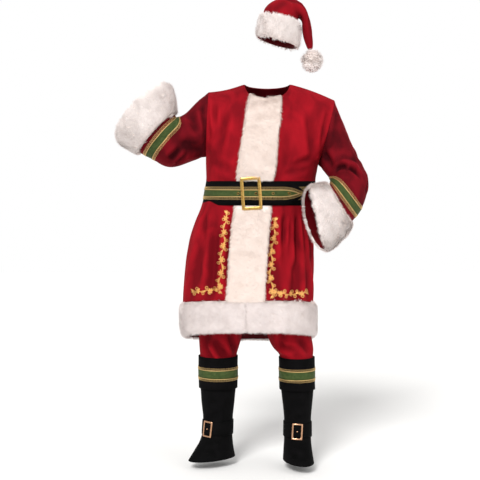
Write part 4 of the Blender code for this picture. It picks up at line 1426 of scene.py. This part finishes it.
    def build(self, skin: BVHTree) -> None:
        """Work the vine on a panel.

        Args:
            skin: the panel's outer side.
        """
        gilt = EMBROIDERY.material()
        line = self.run()
        pieces = [thread(f"{self.name}_{number}", [self.on_cloth(skin, flat, 0.5 * radius)], radius, gilt)
                  for number, (flat, radius) in enumerate(self.threads(line))]
        for number, (start, side) in enumerate(self.sprays(self.step * len(line))):
            place, _, aside = self.frame_at(line, start)
            pieces.append(self.flower(f"{self.name}_flower_{number}", skin,
                                      place + aside * side * self.off_stem, self.flower_turn * number))
        hand_over(joined(self.name, pieces), "brass")

    def on_cloth(self, skin: BVHTree, flat: np.ndarray, lift: float) -> list[Vector]:
        """Lay flat points on the front of the cloth.

        Args:
            skin: the outer side of the cloth.
            flat: places across and up.
            lift: their height over the cloth.

        Returns:
            The laid points.
        """
        laid = []
        for across, up in flat:
            place, normal, _, _ = skin.ray_cast(Vector((across, -1.0, up)), Vector((0.0, 1.0, 0.0)))
            if place is None:
                place, normal, _, _ = skin.find_nearest(Vector((across, self.front, up)))
            laid.append(place + normal * lift)
        return laid

    def flower(self, name: str, skin: BVHTree, middle: np.ndarray, turn: float) -> bpy.types.Object:
        """Model one flower with slender petals in padded satin stitch.

        Args:
            name: the object's name.
            skin: the outer side of the cloth.
            middle: its place across and up.
            turn: how far it is turned, in radians.

        Returns:
            The flower's mesh object.
        """
        bloom = bmesh.new()
        for petal in range(self.petals):
            made = bmesh.ops.create_icosphere(bloom, subdivisions=1, radius=0.5)["verts"]
            bmesh.ops.scale(bloom, vec=(self.petal, self.petal_width * self.petal, self.petal_height),
                            verts=made)
            bmesh.ops.translate(bloom, vec=(self.petal_away * self.petal, 0.0, 0.0), verts=made)
            bmesh.ops.rotate(bloom, cent=ORIGIN, verts=made,
                             matrix=Matrix.Rotation(turn + math.tau * petal / self.petals, 3, "Z"))
        heart = bmesh.ops.create_icosphere(bloom, subdivisions=1, radius=self.heart)["verts"]
        bmesh.ops.translate(bloom, vec=(0.0, 0.0, self.heart_lift), verts=heart)
        above = middle + np.array([0.0, self.up_step])
        place, ahead = self.on_cloth(skin, np.array([middle, above]), self.flower_lift)
        normal = skin.find_nearest(place)[1]
        aside = (ahead - place).normalized().cross(normal).normalized()
        turned = Matrix((aside, normal.cross(aside), normal)).transposed().to_4x4()
        bmesh.ops.transform(bloom, matrix=Matrix.Translation(place) @ turned, verts=bloom.verts[:])
        return new_object(name, to_mesh(name, bloom, EMBROIDERY.material()))


# ------------------------------------------------------------------ metal fittings
@dataclass(frozen=True)
class Fitting:
    """A cast fitting that keeps its solid's form, with its edges rounded."""

    node: str
    metal: Metal
    edge: float = 0.0         # how far its corners are rounded
    levels: int = 1
    flat: float = 25.0        # triangles that meet within this angle become one face, in degrees
    skew: float = 60.0        # how uneven such a face may be
    sharp: float = 40.0       # the angle from which a corner is rounded

    def build(self) -> None:
        """Model the fitting on its solid."""
        cast = bmesh.new()
        cast.from_mesh(frame["nodes"][self.node].data)
        bmesh.ops.remove_doubles(cast, verts=cast.verts[:], dist=TINY)
        bmesh.ops.join_triangles(cast, faces=cast.faces[:], angle_face_threshold=math.radians(self.flat),
                                 angle_shape_threshold=math.radians(self.skew))
        if self.edge:
            corners = [edge for edge in cast.edges if edge.calc_face_angle(0.0) > math.radians(self.sharp)]
            bmesh.ops.bevel(cast, geom=corners, offset=self.edge, segments=2, profile=0.5, affect="EDGES",
                            material=-1, clamp_overlap=True)
        name = self.node + "_cast"
        smooth = subdivided(name, to_mesh(name, cast, self.metal.material()), self.levels)
        hand_over(smooth, "brass", self.node)


def eyelet_hole_shadow(node: str, skin: BVHTree, share: float = 0.62, lift: float = 0.0013, sides: int = 24) -> None:
    """Lay a disc of black felt inside an eyelet: painted shadow in its hole.

    Args:
        node: the name of the eyelet's solid.
        skin: the outer side of the strap.
        share: the hole's width against the eyelet's.
        lift: the disc's height over the strap in metres.
        sides: the number of the disc's sides.
    """
    ring = coordinates(frame["nodes"][node].data)
    place, normal, _, _ = skin.find_nearest(Vector(ring.mean(axis=0)))
    disc = bmesh.new()
    radius = 0.5 * share * float(np.ptp(ring[:, 2]))
    bmesh.ops.create_circle(disc, cap_ends=True, segments=sides, radius=radius)
    turned = normal.to_track_quat("Z", "Y").to_matrix().to_4x4()
    bmesh.ops.transform(disc, matrix=Matrix.Translation(place + normal * lift) @ turned, verts=disc.verts[:])
    name = node + "_hole"
    hand_over(new_object(name, to_mesh(name, disc, HOLE_SHADOW_FELT.material())), "black_velvet")


# ------------------------------------------------------------------ folds
# Every row: across and up at the start, across and up at the end, depth, width[, bow], in millimetres.
COAT_FOLDS = creases((
    # right armhole: the sleeve's head falls in two long folds
    (-246, -45, -214, -215, 13.2, 12.5, -10),
    (-222, -30, -200, -185, -7.8, 11, -10),
    (-207, -40, -198, -235, 9.3, 12, -6),
    (-290, -75, -262, -170, 7.8, 15),
    # under the right elbow
    (-378, -262, -318, -205, 12.4, 12, 6),
    (-352, -280, -300, -225, 9.3, 10, 4),
    (-330, -175, -235, -230, 10.1, 20, 12),
    (-425, -215, -372, -160, 6.2, 12),
    # left armhole and upper sleeve
    (238, -55, 196, -225, 9.3, 11, -4),
    (265, -60, 236, -190, 7, 13),
    (200, -215, 246, -300, 11.6, 15, -4),
    # the left elbow's pinch
    (246, -305, 300, -285, 14.7, 9, -10),
    (296, -284, 352, -336, 14.7, 9, -6),
    (262, -272, 345, -292, -9.3, 12, -8),
    (386, -300, 362, -392, 7.8, 10),
    (318, -215, 372, -290, 6.2, 14),
    # the chest
    (175, -245, 70, -300, 6.2, 13),
    (160, -290, 50, -318, 5.4, 11),
    (-205, -265, -120, -310, 6.2, 14),
    # gathers below the belt on the left
    (68, -448, 52, -600, 8.5, 10),
    (86, -450, 83, -690, 13.2, 10.5),
    (109, -450, 114, -640, 11.6, 9.5),
    (132, -452, 148, -655, 10.1, 10),
    (152, -460, 176, -740, 8.5, 13),
    # long soft folds of the skirt
    (96, -620, 100, -822, 15.5, 22),
    (44, -590, 36, -815, 10.9, 18),
    (145, -600, 158, -820, 12.4, 20),
    (-222, -450, -262, -790, 12.4, 22),
    (-196, -470, -216, -820, 11, 18),
    (-252, -560, -300, -815, 10.9, 20),
    (-235, -448, -245, -560, 7.8, 11),
)) + creases((
    # the same kinds, pulled towards the belt
    (-150, -60, -190, -260, 10.9, 15),
    (150, -70, 172, -270, 10.9, 15),
    (-30, -120, -50, -320, 7.8, 20),
    (60, -150, 75, -325, 7, 18),
    (-190, -450, -222, -822, 13.9, 19),
    (-135, -450, -150, -780, 12.4, 13),
    (-85, -450, -96, -825, 14.7, 18),
    (-35, -450, -30, -700, 10.9, 12),
    (10, -450, 2, -818, 14.7, 19),
    (60, -450, 70, -740, 11.6, 12.5),
    (105, -450, 124, -824, 13.9, 18),
    (-330, -150, -250, -215, 9.3, 15),
    (-370, -245, -315, -180, 9.3, 12),
    (290, -120, 320, -250, 9.3, 15),
    (330, -290, 380, -330, 10.9, 12),
), behind=True)

TROUSER_FOLDS = creases((
    (-215, -930, -150, -1030, 13, 15),
    (-150, -900, -118, -1010, 15, 13),
    (-240, -960, -205, -1040, 8, 12),
    (-222, -900, -238, -985, 9, 14),
    (30, -960, 110, -985, 11, 14),
    (112, -925, 172, -1005, 12, 13),
    (60, -900, 44, -975, 9, 13),
)) + creases((
    (-230, -900, -180, -1020, 9, 16),
    (60, -930, 140, -1010, 8, 16),
), behind=True)

BOOT_FOLDS = creases((
    (-240, -1330, -150, -1345, 5, 11, 6),
    (-245, -1380, -160, -1360, 4.5, 10, 4),
    (-225, -1180, -170, -1200, 3.5, 14),
    (-235, -1250, -175, -1235, 4, 13),
    (75, -1330, 165, -1350, 5, 11, 6),
    (80, -1375, 160, -1385, 4.5, 10, 4),
    (90, -1190, 150, -1205, 3.5, 14),
    (85, -1255, 150, -1240, 4, 13),
)) + creases((
    (-240, -1310, -150, -1325, 5, 12),
    (75, -1315, 165, -1330, 5, 12),
), behind=True)

HAT_FOLDS = creases((
    (105, 345, 165, 290, 6, 11),
    (60, 345, 130, 325, 5, 12),
    (150, 300, 168, 200, 5, 8),
    (20, 290, 70, 340, 4, 14),
)) + creases((
    (100, 345, 160, 280, 6, 12),
    (20, 300, 80, 345, 5, 13),
), behind=True)


# ------------------------------------------------------------------ the suit
@dataclass(frozen=True)
class Coat:
    """The long coat: two fronts, a back, sleeves and their fur, ribbons and embroidery."""

    under_belt: Place = (-0.434, -0.329)   # the heights between which the belt presses the front's fur flat
    seams: float = -0.30      # the height over which its panels' edges are sewn together
    ribbon: float = 0.052     # the sleeve ribbons' least width

    def build(self) -> None:
        """Build the coat's cloth, trims and fur."""
        panel = partial(Panel, folds=COAT_FOLDS, sewn_above=self.seams)
        right = panel("coat_front_right", (0.34, 0.90), 0.25).build()
        left = panel("coat_front_left", (0.36, 0.90), 0.26).build()
        body = (right, left, panel("coat_back", (0.68, 0.92), 0.50).build())
        sleeve = partial(panel, outside=RED_VELVET_DARKER)
        right_arm = sleeve("sleeve_right", (0.44, 0.42), 0.15).build(body)
        left_arm = sleeve("sleeve_left", (0.44, 0.52), 0.18).build(body)
        Braid("sleeve_ribbon_right", self.ribbon, beside=(-0.45, -0.05, -0.12)).build(right_arm.skin)
        Braid("sleeve_ribbon_left", self.ribbon, beside=(0.22, -0.16, -0.46)).build(left_arm.skin)
        self.embroider(right.skin, left.skin)
        self.fur()

    def embroider(self, right: BVHTree, left: BVHTree) -> None:
        """Work a vine down each front and another along above its hem.

        Args:
            right: the outer side of the right front.
            left: the outer side of the left front.
        """
        # name, cloth, the first flower's side, places that the stem follows
        for name, skin, hand, course in (
            ("embroidery_right", right, 1.0, ((-0.1575, -0.452), (-0.161, -0.530), (-0.169, -0.600),
                                              (-0.175, -0.680), (-0.180, -0.752))),
            ("embroidery_right_hem", right, -1.0, ((-0.190, -0.745), (-0.215, -0.751), (-0.250, -0.746),
                                                   (-0.283, -0.751))),
            ("embroidery_left", left, -1.0, ((0.033, -0.478), (0.022, -0.530), (0.018, -0.590),
                                             (0.010, -0.640), (0.010, -0.700), (0.016, -0.770))),
            ("embroidery_left_hem", left, 1.0, ((0.024, -0.752), (0.060, -0.762), (0.100, -0.756),
                                                (0.147, -0.763))),
        ):
            Vine(name, course, hand).build(skin)

    def fur(self) -> None:
        """Dress the fur bands."""
        # the hem's fur takes a greyer colour: painted shade between its fibres
        hem = Pile(finish=SHADED_FUR)
        for seed, side in ((11, "back"), (18, "left"), (25, "right")):
            FurBand(f"hem_fur_{side}", (FUR_RIM, FUR_HEM_END), hem, seed).build()
        FurBand("front_fur", FRONT_FUR_RIMS, Pile(finish=WARM_FUR), 32, self.under_belt).build()
        for seed, side, brushed in ((39, "left", (-0.62, -0.42, -0.28)), (46, "right", (-0.45, -0.08, 0.62))):
            FurBand(f"cuff_fur_{side}", (FUR_RIM,), Pile(brushed), seed, sewn_to=f"sleeve_{side}").build()


@dataclass(frozen=True)
class Belt:
    """The strap of black velvet with its braid, eyelets and buckle."""

    eyelets: int = 4

    def build(self) -> None:
        """Build the belt."""
        strap = Panel("belt_strap", (0.092, 1.40), 0.125, rim=STRAP, outside=BLACK_VELVET, inside=None,
                      slot="black_velvet", held="stretched", levels=2, ripple=0.0).build()
        Braid("belt_ribbon").build(strap.skin)
        Fitting("belt_buckle", BRASS, edge=0.0011).build()
        for number in range(1, self.eyelets + 1):
            Fitting(f"belt_eyelet_{number}", BRASS, levels=2).build()
            # painted shadow in the eyelet's hole
            eyelet_hole_shadow(f"belt_eyelet_{number}", strap.skin)


@dataclass(frozen=True)
class Trousers:
    """The waistband and the legs."""

    def build(self) -> None:
        """Build the trousers' cloth."""
        Panel("waistband", (0.05, 1.10), 0.055, held="stretched", levels=2).build()
        for side in ("right", "left"):
            Panel(f"trouser_{side}", (0.62, 0.70), 0.36, TROUSER_FOLDS, levels=2).build()


@dataclass(frozen=True)
class BootTop:
    """A gaiter of black velvet with its cuff, braid, strap and buckle."""

    side: str

    def build(self) -> None:
        """Build the boot top."""
        name = f"boot_{self.side}_"
        black = partial(Panel, outside=BLACK_VELVET, inside=None, slot="black_velvet", levels=2)
        black(name + "shaft", (0.50, 0.42), 0.17, BOOT_FOLDS, ripple=0.001).build()
        cuff = black(name + "cuff", (0.10, 0.50), 0.046, rim=BOOT_CUFF, held="stretched").build()
        black(name + "strap", (0.04, 0.42), 0.016, rim=BOOT_STRAP, held="stretched").build()
        Braid(name + "ribbon", picot=0.0095).build(cuff.skin)
        Fitting(name + "buckle", ROSE_BRASS, edge=0.0007).build()
        Fitting(name + "stud", ROSE_BRASS, levels=2).build()


@dataclass(frozen=True)
class Hat:
    """The drooping hat with its brim and pompom."""

    def build(self) -> None:
        """Build the hat."""
        Panel("hat_crown", (0.62, 0.30), 0.12, HAT_FOLDS, levels=2).build()
        FurBand("hat_brim", (FUR_RIM,), Pile(brushed=(0.25, 0.0, 0.60)), 71).build()
        FurBand("hat_pompom", (), Pile(brushed=(0.0, 0.0, -0.35), stand=0.9), 83).build()


# ------------------------------------------------------------------ the studio
@dataclass(frozen=True)
class Studio:
    """A pale floor, soft lights and the camera."""

    distance: float = 4.2     # from the camera to the suit
    middle_x: float = -0.104
    middle_z: float = -0.566
    eye_z: float = -0.344
    view_height: float = 1.848   # what the frame takes in at the suit
    sensor_mm: float = 36.0
    room: float = 0.66        # the strength of the light from all round
    backdrop: float = 1.0     # how bright the camera sees what is behind the suit
    floor_reach: float = 9.0  # from its middle to its sides

    def build(self) -> None:
        """Make the floor, the lights and the camera."""
        bpy.context.scene.view_settings.view_transform = "Standard"
        self.lay_floor()
        self.place_camera()
        self.light_room()
        self.add_light("key", towards=(-0.32, -1.0, 0.85), width=0.35, strength=2.75)
        self.add_light("fill", towards=(0.95, -0.75, 0.35), width=0.9, strength=0.8)

    def light_room(self) -> None:
        """Surround the suit with dim light, and show the camera a pale backdrop."""
        world = bpy.data.worlds.new("soft room")
        bpy.context.scene.world = world
        world.use_nodes = True
        tree = world.node_tree
        white = linear("FFFFFF")
        light = tree.nodes["Background"]
        light.inputs["Color"].default_value = white
        light.inputs["Strength"].default_value = self.room
        backdrop = add_node(tree, "ShaderNodeBackground", {"Color": white, "Strength": self.backdrop})
        seen = add_node(tree, "ShaderNodeLightPath").outputs["Is Camera Ray"]
        mixed = add_node(tree, "ShaderNodeMixShader", None,
                         {0: seen, 1: light.outputs[0], 2: backdrop.outputs[0]})
        tree.links.new(mixed.outputs[0], tree.nodes["World Output"].inputs["Surface"])

    def lay_floor(self) -> None:
        """Lay the floor, in matt paint."""
        sheet = bmesh.new()
        bmesh.ops.create_grid(sheet, x_segments=2, y_segments=2, size=self.floor_reach)
        bmesh.ops.translate(sheet, vec=(0.0, 0.0, FLOOR_Z), verts=sheet.verts[:])
        paint = bpy.data.materials.new("pale matt floor")
        paint.use_nodes = True
        shader = paint.node_tree.nodes["Principled BSDF"]
        shader.inputs["Base Color"].default_value = linear("F2F1EF")
        shader.inputs["Roughness"].default_value = 0.9
        new_object("floor", to_mesh("floor", sheet, paint))

    def place_camera(self) -> None:
        """Place the camera."""
        data = bpy.data.cameras.new("camera")
        data.sensor_width = self.sensor_mm
        data.lens = self.sensor_mm * self.distance / self.view_height
        camera = link(bpy.data.objects.new("camera", data))
        camera.location = (self.middle_x, -self.distance, self.eye_z)
        drop = math.atan2(self.eye_z - self.middle_z, self.distance)
        camera.rotation_euler = (math.pi / 2 - drop, 0.0, 0.0)
        bpy.context.scene.camera = camera

    def add_light(self, name: str, towards: Reach, width: float, strength: float) -> None:
        """Add a far soft light, which lights the suit and the floor evenly.

        Args:
            name: the light's name.
            towards: the direction from the suit to the light.
            width: how wide it looks from the suit, in radians.
            strength: its strength in watts a square metre.
        """
        data = bpy.data.lights.new(name, "SUN")
        data.angle = width
        data.energy = strength
        lamp = link(bpy.data.objects.new(name, data))
        lamp.rotation_euler = Vector(towards).to_track_quat("Z", "Y").to_euler()


def main() -> None:
    """Build the studio and the suit's sub-assemblies in order."""
    logging.basicConfig(level=logging.INFO, format="%(message)s")
    Studio().build()
    Coat().build()
    Belt().build()
    Trousers().build()
    for side in ("right", "left"):
        BootTop(side).build()
    Hat().build()


if __name__ == "__main__":
    main()
